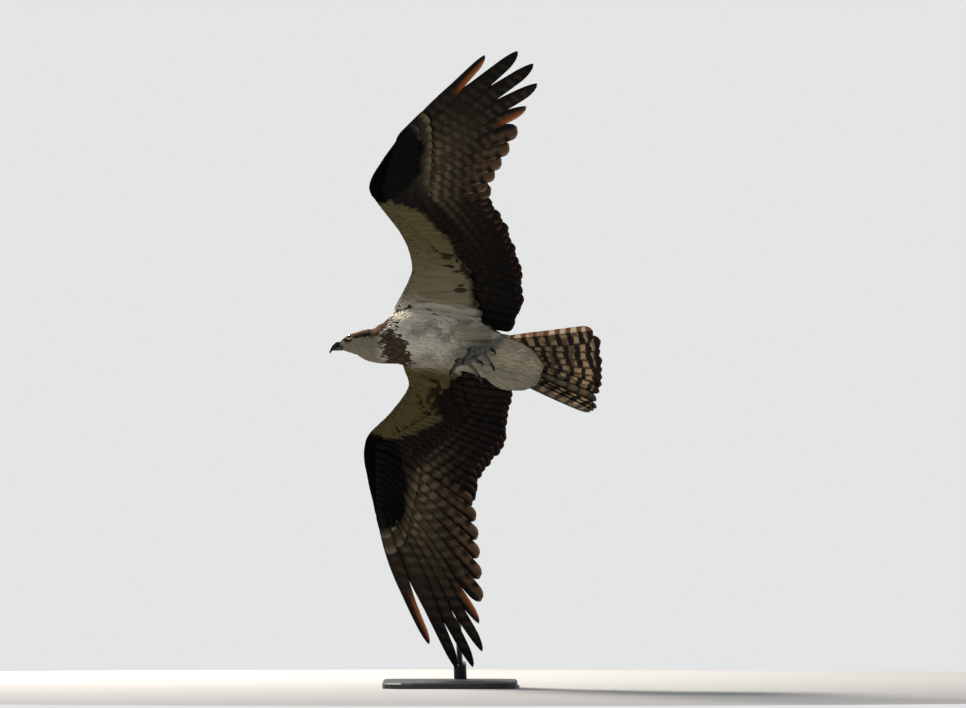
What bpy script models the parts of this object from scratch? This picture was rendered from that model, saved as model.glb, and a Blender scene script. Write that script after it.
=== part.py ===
"""Osprey in a banked glide, life size, held over a flat base by one slanting rod.

The bird is modelled level, in millimetres, with x running back to the tail, y to the
bird's right and z up out of its back. A parent empty then turns it into its banked glide.
Wings, tail and coverts are built from overlapping feather vanes that join only at their
roots, inside the fleshy core of the wing or tail.
"""
import math
import random
from collections import namedtuple

import bmesh
import bpy
from mathutils import Matrix, Vector

MM = 0.001
GAP = 0.3

# Facets around each round form.
TRUNK_SIDES = 16
NECK_SIDES = 14
HEAD_SIDES = 18
BILL_SIDES = 10
TAIL_SIDES = 16
THIGH_SIDES = 14
SHANK_SIDES = 10
TOE_SIDES = 8
CLAW_SIDES = 6
ROD_SIDES = 16

# Start of the feathers' small differences in length.
SEED = 4211
FLIGHT_VARIATION = 3.0
TAIL_VARIATION = 1.5
COVERT_VARIATION = (0.94, 1.04)

# Pose of the whole bird: left wing high, body axis a little tail down.
BANK_DEG = 66.0
NOSE_UP_DEG = 5.5
BIRD_ORIGIN = Vector((-20.0, -140.0, 700.0))

# Head turned back towards level, bill lowered.
HEAD_ORIGIN = Vector((-175.0, 19.0, -31.0))
HEAD_ROLL_DEG = 26.0
HEAD_PITCH_DEG = -12.0
HEAD_YAW_DEG = -5.0

LEFT = -1
RIGHT = 1

Station = namedtuple("Station", "x y z half_width half_depth")
WingPose = namedtuple(
    "WingPose",
    "name side wrist elbow hand_sweep chord_fall span_fall fan_outer fan_inner fan_ease "
    "finger_turn finger_bow leading_bow inner_reach lead trail")

SHOULDER = (-60.0, 52.0)
HAND_LENGTH = 122.0
HAND_START = 8.0
PALM_DEPTH = 12.0
CORE_BEHIND_BONE = 17.0
SPINE_START = (-75.0, 40.0, 24.0)
WRIST_UP = 77.0
ARM_FALL = 0.20
FALL_RANGE = (150.0, 330.0)
FALL_SOFTNESS = 0.14

WINGS = (
    WingPose("wing_left", LEFT, (-158.0, 281.0), (-14.0, 180.0), 17.0, 0.424, 0.043, 33.0, 69.3, 1.25,
             0.0, 0.0, 3.0, 0.98,
             ((-101, 30), (-74, 100), (-70, 140), (-95, 195), (-146, 250), (-168, 277),
              (-165, 307), (-150, 345), (-125, 405)),
             ((70, 351), (71, 328), (107, 275), (122, 240), (143, 187), (152, 143), (157, 98), (146, 58))),
    WingPose("wing_right", RIGHT, (-121.0, 281.0), (10.0, 168.0), 14.0, 0.456, 0.017, 25.8, 68.3, 0.95,
             0.9, 0.0, 9.0, 1.01,
             ((-92, 30), (-64, 90), (-54, 132), (-84, 195), (-122, 252), (-130, 284),
              (-128, 312), (-117, 350), (-98, 415)),
             ((98, 345), (102, 300), (112, 275), (126, 248), (149, 212), (148, 170), (154, 110), (144, 58))),
)

# Thickness of the wing's flesh at places out, and its section as shares of chord and thickness.
WING_THICKNESS = ((30, 30), (24, 80), (17, 150), (15, 200), (15, 281), (13, 410))
WING_PROFILE = ((0.0, -0.06), (0.06, 0.36), (0.25, 0.5), (0.65, 0.48), (1.0, 0.36),
                (1.0, -0.36), (0.65, -0.48), (0.25, -0.5), (0.06, -0.4))

# Primaries from the innermost to the leading one.
PRIMARY_LENGTHS = (246.0, 261.0, 277.0, 298.0, 323.0, 349.0, 389.0, 397.0, 375.0, 299.0)
SECONDARY_COUNT = 14
TERTIAL_COUNT = 6
TERTIAL_START = 64.0

# A vane lies a little tilted, and each one out along the wing starts a step lower.
HALF_VANE = 0.33
SECONDARY_WIDTHS = (14.0, 25.0)
INNER_PRIMARY_WIDTHS = (13.0, 26.0)
FINGER_WIDTHS = (12.0, 25.0)
LAST_PRIMARY_WIDTHS = (9.0, 19.0)
FINGER_START = 5
PRIMARY_BOW = 5.0
VANE_TILT = 0.1
HAND_TILT = 0.06
TERTIAL_COLUMNS = 2
SECONDARY_ROOT = 4.0
SECONDARY_STEP = 0.85
STACK_START = 12.0
PRIMARY_STEP = 1.0
HAND_DROP = 1.2
COVERT_LIFT = 4.7
COVERT_REACH = 0.44
UNDER_COVERT_WIDTHS = (8.0, 19.0)
UPPER_COVERT_WIDTHS = (35.0, 18.0)
UPPER_COVERT_EVERY = 3

# Rows of share along a vane, then shares of its leading and trailing widths.
BROAD_VANE = ((-0.04, 0.25, 0.2), (0.3, 1.0, 1.0), (0.86, 0.9, 0.9), (1.0, 0.25, 0.2))
FINGER_VANE = ((-0.03, 0.25, 0.18), (0.14, 0.7, 0.55), (0.42, 1.0, 1.0), (0.62, 0.8, 0.82),
               (0.88, 0.5, 0.62), (1.0, 0.15, 0.1))
COVERT_VANE = ((-0.09, 0.25, 0.2), (0.4, 0.9, 0.9), (0.84, 0.8, 0.8), (1.0, 0.25, 0.25))
RECTRIX_VANE = ((-0.06, 0.3, 0.3), (0.35, 0.85, 0.85), (0.9, 1.0, 1.0), (1.0, 0.45, 0.45))

TAIL_ROOT = Vector((118.0, 3.0, -34.5))
TAIL_AXIS = Vector((214.0, 21.0, -45.0)).normalized()
RECTRIX_LENGTH = 219.0
RECTRIX_PAIRS = 6
TAIL_HALF_FAN_DEG = 23.0
TAIL_ROLL_DEG = 23.0
TAIL_DISH_RADIUS = 292.0
TAIL_ROOT_SPREAD = 39.0
TAIL_STEP = 1.3
RECTRIX_WIDTHS = (14.0, 25.0)
CENTRAL_WIDTHS = (19.0, 21.0)
RECTRIX_SHORTER = 0.8

TRUNK = (
    Station(-114, 7, -19, 12, 12), Station(-109, 7, -19, 34, 34), Station(-98, 6, -17, 45, 46),
    Station(-78, 4, -13, 55, 55), Station(-48, 1, -7, 62, 60), Station(-10, 0, -2, 62, 60),
    Station(30, 1, -4, 59, 55), Station(65, 4, -14, 56, 47), Station(95, 10, -28, 54, 38),
    Station(112, 15, -38, 50, 32), Station(122, 17, -42, 38, 24), Station(127, 18, -44, 16, 10))
NECK = (
    Station(-156, 19, -31, 24, 24), Station(-138, 19, -30, 32, 32), Station(-120, 17, -27, 38, 38),
    Station(-104, 13, -23, 43, 43), Station(-88, 9, -18, 47, 47))
HEAD = (
    Station(-25, 0, 1.0, 4, 5), Station(-22, 0, 1.0, 8.5, 9), Station(-12, 0, 1.5, 14.5, 14.5),
    Station(-2, 0, 2.0, 19.5, 19), Station(10, 0, 1.5, 24, 23), Station(22, 0, 0.0, 27, 26),
    Station(34, 0, -1.0, 29, 28), Station(44, 0, -1.0, 26, 25), Station(50, 0, -1.0, 14, 14))
BILL_UPPER = (
    Station(-10, 0, 2.5, 8.0, 7.5), Station(-22, 0, 3.0, 8.0, 7.2), Station(-31, 0, 1.5, 6.6, 6.4),
    Station(-38, 0, -2.5, 4.8, 5.2), Station(-42.5, 0, -8.0, 3.0, 3.6), Station(-44.5, 0, -13.0, 1.5, 1.9),
    Station(-44.8, 0, -17.0, 0.4, 0.5))
BILL_LOWER = (
    Station(-10, 0, -6.0, 7.0, 3.4), Station(-22, 0, -6.2, 6.6, 3.2), Station(-31, 0, -6.8, 4.8, 2.6),
    Station(-36, 0, -8.0, 2.6, 1.6), Station(-38.2, 0, -8.8, 0.8, 0.6))
TAIL_CORE = (
    Station(96, 7, -32, 42, 24), Station(116, 11, -44, 56, 30), Station(140, 16, -55, 59, 25),
    Station(165, 20, -62, 53, 19), Station(190, 23, -69, 40, 13), Station(207, 26, -73, 19, 7))
EYE_RADIUS = 8.4
EYE_PLACE = (-1.0, 13.2, 4.5)

LEGS = (
    ("left", ((28, -40, -44, 22), (75, -42, -56, 18), (122, -42, -64, 7.5)), Vector((80.0, -20.0, -90.0))),
    ("right", ((16, 20, -46, 21), (58, 2, -60, 17), (96, -16, -68, 7.5)), Vector((57.0, 6.0, -94.0))),
)
TARSUS_RADIUS = 5.6
TOE_RADIUS = 4.3
TOE_LENGTHS = (36.0, 42.0, 38.0, 30.0)
TOE_HEADINGS_DEG = (-32.0, 12.0, 140.0, -150.0)
CLAW_LENGTH = 24.0

BASE_SIZE = (270.0, 560.0)
BASE_THICKNESS = 12.0
BASE_CORNER = 60.0
BASE_CORNER_STEPS = 4
BASE_CHAMFER = 3.0
ROD_RADIUS = 6.0
ROD_TOP = Vector((14.0, 8.0, 42.0))
ROD_AIM = Vector((92.0, 640.0, 26.0))
ROD_FOOT_HEIGHT = 6.0
COLLAR_RADIUS = 13.0
COLLAR_LENGTH = 30.0
COLLAR_SINK = 4.0

rng = random.Random(SEED)


def clear_scene():
    """Remove every object that the file opened with."""
    for obj in list(bpy.data.objects):
        bpy.data.objects.remove(obj, do_unlink=True)


def make_material(name, colour, roughness, metallic=0.0):
    """Return a Principled material of one plain colour."""
    material = bpy.data.materials.new(name)
    material.use_nodes = True
    shader = material.node_tree.nodes["Principled BSDF"]
    shader.inputs["Base Color"].default_value = (*colour, 1.0)
    shader.inputs["Roughness"].default_value = roughness
    shader.inputs["Metallic"].default_value = metallic
    return material


def make_object(name, bm, material, parent=None):
    """Turn a bmesh into a named object under its parent empty."""
    bmesh.ops.recalc_face_normals(bm, faces=bm.faces)
    mesh = bpy.data.meshes.new(name)
    bm.to_mesh(mesh)
    bm.free()
    mesh.materials.append(material)
    obj = bpy.data.objects.new(name, mesh)
    bpy.context.scene.collection.objects.link(obj)
    obj.parent = parent
    return obj


def smooth_between(points, spans):
    """Return rows on a Catmull-Rom curve through rows of numbers, spans to each gap."""
    rows = [tuple(float(value) for value in row) for row in points]
    rows = [rows[0]] + rows + [rows[-1]]
    result = []
    for index in range(1, len(rows) - 2):
        before, start, end, after = rows[index - 1:index + 3]
        for step in range(spans):
            t = step / spans
            result.append(tuple(
                0.5 * (2 * b + (c - a) * t + (2 * a - 5 * b + 4 * c - d) * t * t
                       + (3 * b - a - 3 * c + d) * t ** 3)
                for a, b, c, d in zip(before, start, end, after)))
    result.append(rows[-2])
    return result


def value_at(points, position):
    """Read a smooth curve of (value, position) rows at one position."""
    rows = smooth_between(points, 6)
    if (rows[0][1] - rows[-1][1]) > 0:
        rows = rows[::-1]
    for (value_a, place_a), (value_b, place_b) in zip(rows, rows[1:]):
        if place_a <= position <= place_b:
            share = (position - place_a) / max(place_b - place_a, 1e-9)
            return value_a + (value_b - value_a) * share
    return rows[0][0] if position < rows[0][1] else rows[-1][0]


def loft(rings):
    """Join rings of equal count into one closed skin with flat ends."""
    bm = bmesh.new()
    loops = [[bm.verts.new(point * MM) for point in ring] for ring in rings]
    for first, second in zip(loops, loops[1:]):
        for index in range(len(first)):
            after = (index + 1) % len(first)
            bm.faces.new((first[index], first[after], second[after], second[index]))
    bm.faces.new(loops[0][::-1])
    bm.faces.new(loops[-1])
    bmesh.ops.triangulate(bm, faces=bm.faces)
    return bm


def grown(bm, distance=GAP):
    """Push every face of a closed bmesh outwards by one distance."""
    bmesh.ops.recalc_face_normals(bm, faces=bm.faces)
    bm.normal_update()
    moves = [(vert, vert.normal * vert.calc_shell_factor() * distance * MM) for vert in bm.verts]
    for vert, move in moves:
        vert.co += move
    return bm


def sweep(stations, sides, side_axis=Vector((0.0, 1.0, 0.0))):
    """Loft ovals square to the line through the stations' centres."""
    centres = [Vector(station[:3]) for station in stations]
    rings = []
    for index, station in enumerate(stations):
        behind = centres[max(index - 1, 0)]
        ahead = centres[min(index + 1, len(centres) - 1)]
        along = (ahead - behind).normalized()
        other = side_axis.cross(along).normalized()
        across = along.cross(other).normalized()
        half_width, half_depth = station[3], station[4]
        centre = centres[index]
        rings.append([centre + across * half_width * math.cos(angle) + other * half_depth * math.sin(angle)
                      for angle in (2 * math.pi * (step + 0.5) / sides for step in range(sides))])
    return loft(rings)


def round_stations(points, radii):
    """Stations with round sections."""
    return [Station(*point, radius, radius) for point, radius in zip(points, radii)]


def evaluated_mesh(obj):
    """Mesh of an object with its modifiers applied."""
    graph = bpy.context.evaluated_depsgraph_get()
    return bpy.data.meshes.new_from_object(obj.evaluated_get(graph))


def bake_modifiers(obj):
    """Apply every modifier to the object's own mesh."""
    mesh = evaluated_mesh(obj)
    old = obj.data
    obj.modifiers.clear()
    obj.data = mesh
    bpy.data.meshes.remove(old)


def keep_largest_surface(obj):
    """Drop every closed surface of the object but the one with the widest spread."""
    bm = bmesh.new()
    bm.from_mesh(obj.data)
    bmesh.ops.remove_doubles(bm, verts=bm.verts, dist=1e-6)
    bmesh.ops.dissolve_degenerate(bm, edges=bm.edges, dist=1e-6)
    unseen = set(bm.verts)
    islands = []
    while unseen:
        stack = [unseen.pop()]
        island = set(stack)
        while stack:
            for edge in stack.pop().link_edges:
                for vert in edge.verts:
                    if vert in unseen:
                        unseen.remove(vert)
                        island.add(vert)
                        stack.append(vert)
        islands.append(island)
    if len(islands) > 1:
        islands.sort(key=len)
        for island in islands[:-1]:
            bmesh.ops.delete(bm, geom=list(island), context="VERTS")
    bm.to_mesh(obj.data)
    bm.free()


def combine(obj, operation, others):
    """Union with, or cut by, all the other objects at once, then remove them."""
    group = bpy.data.collections.new(obj.name + "_operands")
    bpy.context.scene.collection.children.link(group)
    for other in others:
        bpy.context.scene.collection.objects.unlink(other)
        group.objects.link(other)
    modifier = obj.modifiers.new(operation.lower(), "BOOLEAN")
    modifier.operation = operation
    modifier.operand_type = "COLLECTION"
    modifier.collection = group
    modifier.solver = "EXACT"
    bake_modifiers(obj)
    for other in others:
        bpy.data.objects.remove(other, do_unlink=True)
    bpy.data.collections.remove(group)
    keep_largest_surface(obj)


def bird_point(back, out, up, side):
    """Point of one wing, out from the midline on its own side."""
    return Vector((back, side * out, up))


def soft_start(value, reach):
    """Zero below nought and the value itself above it, with a rounded corner of one reach each way."""
    if abs(value) < reach:
        return (value + reach) ** 2 / (4.0 * reach)
    return max(value, 0.0)


def wing_height(pose, back, out):
    """Height of the wing's middle surface over a place in plan."""
    share = min(soft_start((out - FALL_RANGE[0]) / (FALL_RANGE[1] - FALL_RANGE[0]), FALL_SOFTNESS), 1.0)
    fall = ARM_FALL + (pose.chord_fall - ARM_FALL) * share
    if out < pose.wrist[1]:
        t = (out - SPINE_START[1]) / (pose.wrist[1] - SPINE_START[1])
        spine_back = SPINE_START[0] + (pose.wrist[0] - SPINE_START[0]) * t
        spine_up = SPINE_START[2] + (WRIST_UP - SPINE_START[2]) * t
    else:
        spine_back = pose.wrist[0]
        spine_up = WRIST_UP - pose.span_fall * (out - pose.wrist[1])
    return spine_up - fall * (back - spine_back)


def hand_tip(pose):
    """Plan place of the hand's far end."""
    sweep_angle = math.radians(pose.hand_sweep)
    return (pose.wrist[0] + HAND_LENGTH * math.sin(sweep_angle),
            pose.wrist[1] + HAND_LENGTH * math.cos(sweep_angle))


def stack_level(pose, out):
    """How far the core and the feather roots sink to follow the stepped feathers."""
    start = pose.elbow[1] - STACK_START
    arm_share = (out - start) / (pose.wrist[1] - start)
    hand_share = (out - pose.wrist[1]) / (hand_tip(pose)[1] - pose.wrist[1])
    return (-SECONDARY_STEP * SECONDARY_COUNT * min(max(arm_share, 0.0), 1.0)
            - PRIMARY_STEP * len(PRIMARY_LENGTHS) * min(max(hand_share, 0.0), 1.0))


def bone_back(pose, out):
    """Place back of the arm's bones at one distance out."""
    joints = (SHOULDER, pose.elbow, pose.wrist, hand_tip(pose))
    for (back_a, out_a), (back_b, out_b) in zip(joints, joints[1:]):
        if out <= out_b:
            return back_a + (back_b - back_a) * (out - out_a) / (out_b - out_a)
    return joints[-1][0]


Vane = namedtuple("Vane", "root direction length lead_width trail_width level tilt bow shape")


def flight_vanes(pose):
    """Plan roots, directions and lengths of one wing's flight feathers, body to tip."""
    vanes = []
    trail_rows = smooth_between(pose.trail, 6)[::-1]
    steps = [0.0]
    for row_a, row_b in zip(trail_rows, trail_rows[1:]):
        steps.append(steps[-1] + math.dist(row_a, row_b))
    count = SECONDARY_COUNT + TERTIAL_COUNT
    start_out = TERTIAL_START
    for index in range(count):
        if index < TERTIAL_COUNT:
            share = index / TERTIAL_COUNT
            root_out = start_out + (pose.elbow[1] - start_out) * share
            root = (bone_back(pose, root_out), root_out)
        else:
            share = (index - TERTIAL_COUNT) / (SECONDARY_COUNT - 1)
            root_out = pose.elbow[1] + (pose.wrist[1] - HAND_START - pose.elbow[1]) * share
            root = (bone_back(pose, root_out) + SECONDARY_ROOT, root_out)
        travel = steps[-1] * index / (count - 1)
        place = next(i for i in range(1, len(steps)) if steps[i] >= travel - 1e-6)
        part = (travel - steps[place - 1]) / (steps[place] - steps[place - 1])
        row_a, row_b = trail_rows[place - 1], trail_rows[place]
        tip = (row_a[0] + (row_b[0] - row_a[0]) * part, row_a[1] + (row_b[1] - row_a[1]) * part)
        across = (tip[0] - root[0], tip[1] - root[1])
        length = math.hypot(*across)
        direction = (across[0] / length, across[1] / length)
        length += rng.uniform(-FLIGHT_VARIATION, FLIGHT_VARIATION)
        vanes.append(Vane(root, direction, length, *SECONDARY_WIDTHS, stack_level(pose, root[1]), VANE_TILT,
                          0.0, BROAD_VANE))
    sweep_angle = math.radians(pose.hand_sweep)
    last = len(PRIMARY_LENGTHS) - 1
    for index, length in enumerate(PRIMARY_LENGTHS):
        t = index / last
        reach = HAND_START + (HAND_LENGTH - HAND_START) * t
        root = (pose.wrist[0] + reach * math.sin(sweep_angle) + PALM_DEPTH * (1.0 - t),
                pose.wrist[1] + reach * math.cos(sweep_angle))
        fan = math.radians(pose.fan_inner + (pose.fan_outer - pose.fan_inner) * t ** pose.fan_ease)
        bow = PRIMARY_BOW * t
        if index < FINGER_START:
            length *= pose.inner_reach
        elif index == last:
            bow = pose.leading_bow
        elif index > FINGER_START:
            fan += math.radians(pose.finger_turn)
            bow = pose.finger_bow
        direction = (math.sin(fan), math.cos(fan))
        drop = wing_height(pose, *root) - wing_height(
            pose, root[0] + direction[0] * length, root[1] + direction[1] * length)
        length = length / math.hypot(1.0, drop / length)
        widths, shape = INNER_PRIMARY_WIDTHS, BROAD_VANE
        if index >= FINGER_START:
            widths, shape = LAST_PRIMARY_WIDTHS if index == last else FINGER_WIDTHS, FINGER_VANE
        level = stack_level(pose, pose.wrist[1]) - HAND_DROP - PRIMARY_STEP * (index + 1)
        vanes.append(Vane(root, direction, length, *widths, level, HAND_TILT, bow, shape))
    return vanes


def core_stations(pose):
    """Distances out at which the wing's fleshy core is sectioned."""
    tip = hand_tip(pose)[1]
    outs = [34.0, 60.0, 95.0, 130.0, pose.elbow[1], 205.0, 235.0, 262.0, pose.wrist[1], 312.0, 345.0, 375.0]
    return outs + [tip + 4.0]


def wing_core(pose, parent, material):
    """Flesh, bone and leading web of one wing as a blunt aerofoil."""
    rings = []
    for out in core_stations(pose):
        lead = value_at(pose.lead, out)
        rear = bone_back(pose, out) + CORE_BEHIND_BONE
        thick = value_at(WING_THICKNESS, out)
        chord = rear - lead
        ring = []
        for share, height in WING_PROFILE:
            back = lead + chord * share
            up = wing_height(pose, back, out) + stack_level(pose, out) + thick * height
            ring.append(bird_point(back, out, up, pose.side))
        rings.append(ring)
    return make_object(pose.name, loft(rings), material, parent)


def vane_object(name, pose, vane, lift, widths, reach, shape, columns, parent, material):
    """One thin closed vane of a wing, lifted off the wing's middle surface."""
    lead_width, trail_width = widths
    across = (-vane.direction[1], vane.direction[0])
    bm = bmesh.new()
    tops, lows = [], []
    for share, lead_share, trail_share in shape:
        along = share * reach * vane.length
        place = min(max(share * reach, 0.0), 1.0)
        bow = vane.bow * 4.0 * place * (1.0 - place)
        sides = (lead_width * lead_share, 0.0, -trail_width * trail_share)
        top, low = [], []
        for aside in sides if columns == 3 else (sides[0], sides[2]):
            back = vane.root[0] + vane.direction[0] * along + across[0] * (aside + bow)
            out = vane.root[1] + vane.direction[1] * along + across[1] * (aside + bow)
            up = wing_height(pose, back, out) + vane.level + lift + vane.tilt * aside
            top.append(bm.verts.new(bird_point(back, out, up + HALF_VANE, pose.side) * MM))
            low.append(bm.verts.new(bird_point(back, out, up - HALF_VANE, pose.side) * MM))
        tops.append(top)
        lows.append(low)
    close_sheet(bm, tops, lows)
    return make_object(name, bm, material, parent)


def wing_feathers(pose, parent, material):
    """Flight feathers of one wing with a tier of greater coverts below and above."""
    feathers = []
    for number, vane in enumerate(flight_vanes(pose)):
        columns = TERTIAL_COLUMNS if number < TERTIAL_COUNT else 3
        feathers.append(vane_object("flight", pose, vane, 0.0, (vane.lead_width, vane.trail_width), 1.0,
                                    vane.shape, columns, parent, material))
        reach = COVERT_REACH * rng.uniform(*COVERT_VARIATION)
        if number >= TERTIAL_COUNT:
            feathers.append(vane_object("under_covert", pose, vane, -COVERT_LIFT, UNDER_COVERT_WIDTHS, reach,
                                        COVERT_VANE, 2, parent, material))
        if number % UPPER_COVERT_EVERY == 0:
            feathers.append(vane_object("upper_covert", pose, vane, COVERT_LIFT, UPPER_COVERT_WIDTHS, reach,
                                        COVERT_VANE, 2, parent, material))
    return feathers


def close_sheet(bm, tops, lows):
    """Skin a grid of upper and lower vertices and wall its rim, split alike on both faces."""
    rows, columns = len(tops), len(tops[0])
    for r in range(rows - 1):
        for c in range(columns - 1):
            for grid, turn in ((tops, False), (lows, True)):
                a, b, c2, d = grid[r][c], grid[r][c + 1], grid[r + 1][c + 1], grid[r + 1][c]
                first, second = (a, b, c2), (a, c2, d)
                bm.faces.new(first[::-1] if turn else first)
                bm.faces.new(second[::-1] if turn else second)
    rim = [(0, c) for c in range(columns)] + [(r, columns - 1) for r in range(1, rows)]
    rim += [(rows - 1, c) for c in range(columns - 2, -1, -1)] + [(r, 0) for r in range(rows - 2, 0, -1)]
    for (ra, ca), (rb, cb) in zip(rim, rim[1:] + rim[:1]):
        top_a, top_b, low_a, low_b = tops[ra][ca], tops[rb][cb], lows[ra][ca], lows[rb][cb]
        bm.faces.new((top_a, low_a, low_b))
        bm.faces.new((top_a, low_b, top_b))


def build_wing(pose, parent, material, trunk_cutter):
    """One wing: its core, its feathers, and the cut where it meets the body."""
    wing = wing_core(pose, parent, material)
    combine(wing, "UNION", wing_feathers(pose, parent, material))
    combine(wing, "DIFFERENCE", [trunk_cutter])
    return wing


def tail_point(arc, reach, lift):
    """Point of the dished tail: arc out to the right, reach back along the axis."""
    level = Vector((0.0, 1.0, 0.0))
    right = (level - TAIL_AXIS * level.dot(TAIL_AXIS)).normalized()
    upward = TAIL_AXIS.cross(right)
    roll = math.radians(TAIL_ROLL_DEG)
    slope = roll + arc / TAIL_DISH_RADIUS
    aside = TAIL_DISH_RADIUS * (math.sin(slope) - math.sin(roll)) - lift * math.sin(slope)
    rise = TAIL_DISH_RADIUS * (math.cos(roll) - math.cos(slope)) + lift * math.cos(slope)
    return TAIL_ROOT + TAIL_AXIS * reach + right * aside + upward * rise


def rectrix_angles():
    """Fan angle and step of each tail feather, left to right."""
    feathers = []
    spread = TAIL_HALF_FAN_DEG / (RECTRIX_PAIRS - 0.5)
    for pair in range(RECTRIX_PAIRS):
        for side in (LEFT, RIGHT):
            step = 0 if (pair == 0 and side == RIGHT) else pair + 1
            feathers.append((side * spread * (pair + 0.5), step, pair))
    return sorted(feathers)


def tail_feathers(parent, material):
    """Twelve tail feathers, the middle pair uppermost and each next pair a step lower."""
    feathers = []
    for angle, step, pair in rectrix_angles():
        side = LEFT if angle < 0 else RIGHT
        fan = math.radians(angle)
        start = TAIL_ROOT_SPREAD * angle / TAIL_HALF_FAN_DEG
        length = RECTRIX_LENGTH - RECTRIX_SHORTER * pair + rng.uniform(-TAIL_VARIATION, TAIL_VARIATION)
        outer, inner = CENTRAL_WIDTHS if pair == 0 else RECTRIX_WIDTHS
        bm = bmesh.new()
        tops, lows = [], []
        for share, outer_share, inner_share in RECTRIX_VANE:
            top, low = [], []
            for aside in (outer * outer_share, 0.0, -inner * inner_share):
                arc = start + length * share * math.sin(fan) + side * aside * math.cos(fan)
                reach = length * share * math.cos(fan) - side * aside * math.sin(fan)
                lift = -TAIL_STEP * step
                top.append(bm.verts.new(tail_point(arc, reach, lift + HALF_VANE) * MM))
                low.append(bm.verts.new(tail_point(arc, reach, lift - HALF_VANE) * MM))
            tops.append(top)
            lows.append(low)
        close_sheet(bm, tops, lows)
        feathers.append(make_object("rectrix", bm, material, parent))
    return feathers


def tail_core_bmesh():
    """Soft coverts round the root of the tail."""
    return sweep(smooth_between(TAIL_CORE, 2), TAIL_SIDES)


def build_tail(parent, material, trunk_cutter):
    """The tail's coverts as one soft mass with the tail feathers out of it."""
    tail = make_object("tail", tail_core_bmesh(), material, parent)
    combine(tail, "UNION", tail_feathers(parent, material))
    combine(tail, "DIFFERENCE", [trunk_cutter])
    return tail


def trunk_bmesh():
    """Body from the root of the neck to the root of the tail."""
    return sweep(smooth_between(TRUNK, 2), TRUNK_SIDES)


def neck_bmesh():
    """Short thick neck, drawn in for flight."""
    return sweep(smooth_between(NECK, 2), NECK_SIDES)


def head_bmesh():
    """Head from the bill's base to the nape."""
    return sweep(smooth_between(HEAD, 2), HEAD_SIDES)


def bill_bmesh(stations):
    """One half of the bill, with a narrow ridge."""
    return sweep(smooth_between(stations, 2), BILL_SIDES)


def eye_bmesh(side):
    """Eyeball set into the side of the head."""
    bm = bmesh.new()
    bmesh.ops.create_icosphere(bm, subdivisions=2, radius=EYE_RADIUS * MM)
    back, out, up = EYE_PLACE
    bmesh.ops.translate(bm, verts=bm.verts, vec=Vector((back, side * out, up)) * MM)
    return bm


def toe_path(base, heading, length, forward, down):
    """Three points of a toe that reaches out and bends down, and its end direction."""
    spread = Matrix.Rotation(math.radians(heading), 3, down) @ forward
    first = base + spread * length * 0.5 + down * length * 0.08
    bend = (spread * 0.62 + down * 0.78).normalized()
    second = first + bend * length * 0.5
    return (base, first, second), (spread * 0.15 + down * 0.99).normalized()


def build_foot(name, ankle, base, parent, materials):
    """Bare shank and four toes as one piece, with a claw on each toe."""
    shank_top = ankle + (base - ankle) * 0.04
    foot = make_object("foot_" + name, sweep(round_stations(
        (shank_top, ankle.lerp(base, 0.5), base, base + (base - ankle) * 0.08),
        (TARSUS_RADIUS, TARSUS_RADIUS * 0.92, TARSUS_RADIUS * 1.15, TARSUS_RADIUS * 0.8)), SHANK_SIDES),
        materials["scale_skin"], parent)
    forward = Vector((-1.0, 0.0, -0.25)).normalized()
    down = Vector((0.0, 0.15, -1.0))
    down = (down - forward * down.dot(forward)).normalized()
    toes = []
    claws = []
    for index, (heading, length) in enumerate(zip(TOE_HEADINGS_DEG, TOE_LENGTHS)):
        points, end = toe_path(base, heading, length, forward, down)
        radii = (TOE_RADIUS * 1.1, TOE_RADIUS, TOE_RADIUS * 0.82)
        toes.append(make_object("toe", sweep(round_stations(points, radii), TOE_SIDES),
                                materials["scale_skin"], parent))
        claws.append((index + 1, points[2], points[2] - points[1], end))
    combine(foot, "UNION", toes)
    for number, tip, along, end in claws:
        build_claw("claw_%s_%d" % (name, number), tip, along.normalized(), end, parent, materials["horn"])
    return foot


def build_claw(name, tip, along, end, parent, material):
    """Hooked claw that starts a hair's breadth off the toe's flat end."""
    start = tip + along * GAP
    middle = start + (along * 0.75 + end * 0.25).normalized() * CLAW_LENGTH * 0.4
    far = middle + (end * 0.9 - along * 0.1).normalized() * CLAW_LENGTH * 0.45
    last = far + (end * 0.5 - along * 0.6).normalized() * CLAW_LENGTH * 0.25
    stations = round_stations((start, start + along * 2.0, middle, far, last), (3.3, 3.2, 2.7, 1.7, 0.35))
    side = along.cross(end)
    side = side.normalized() if side.length > 0.05 else Vector((0.0, 1.0, 0.0))
    return make_object(name, sweep(stations, CLAW_SIDES, side_axis=side), material, parent)


def rod_line(pose_matrix):
    """Both ends of the stand's rod in the world, in millimetres."""
    top = pose_matrix @ (ROD_TOP * MM) / MM
    aim = pose_matrix @ (ROD_AIM * MM) / MM
    along = (aim - top).normalized()
    foot = top + along * ((ROD_FOOT_HEIGHT - top.z) / along.z)
    return top, foot


def rod_bmesh(start, end, radius):
    """Round bar between two points."""
    along = (end - start).normalized()
    side = Vector((1.0, 0.0, 0.0))
    side = (side - along * side.dot(along)).normalized()
    return sweep(round_stations((start, end), (radius, radius)), ROD_SIDES, side_axis=side)


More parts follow.
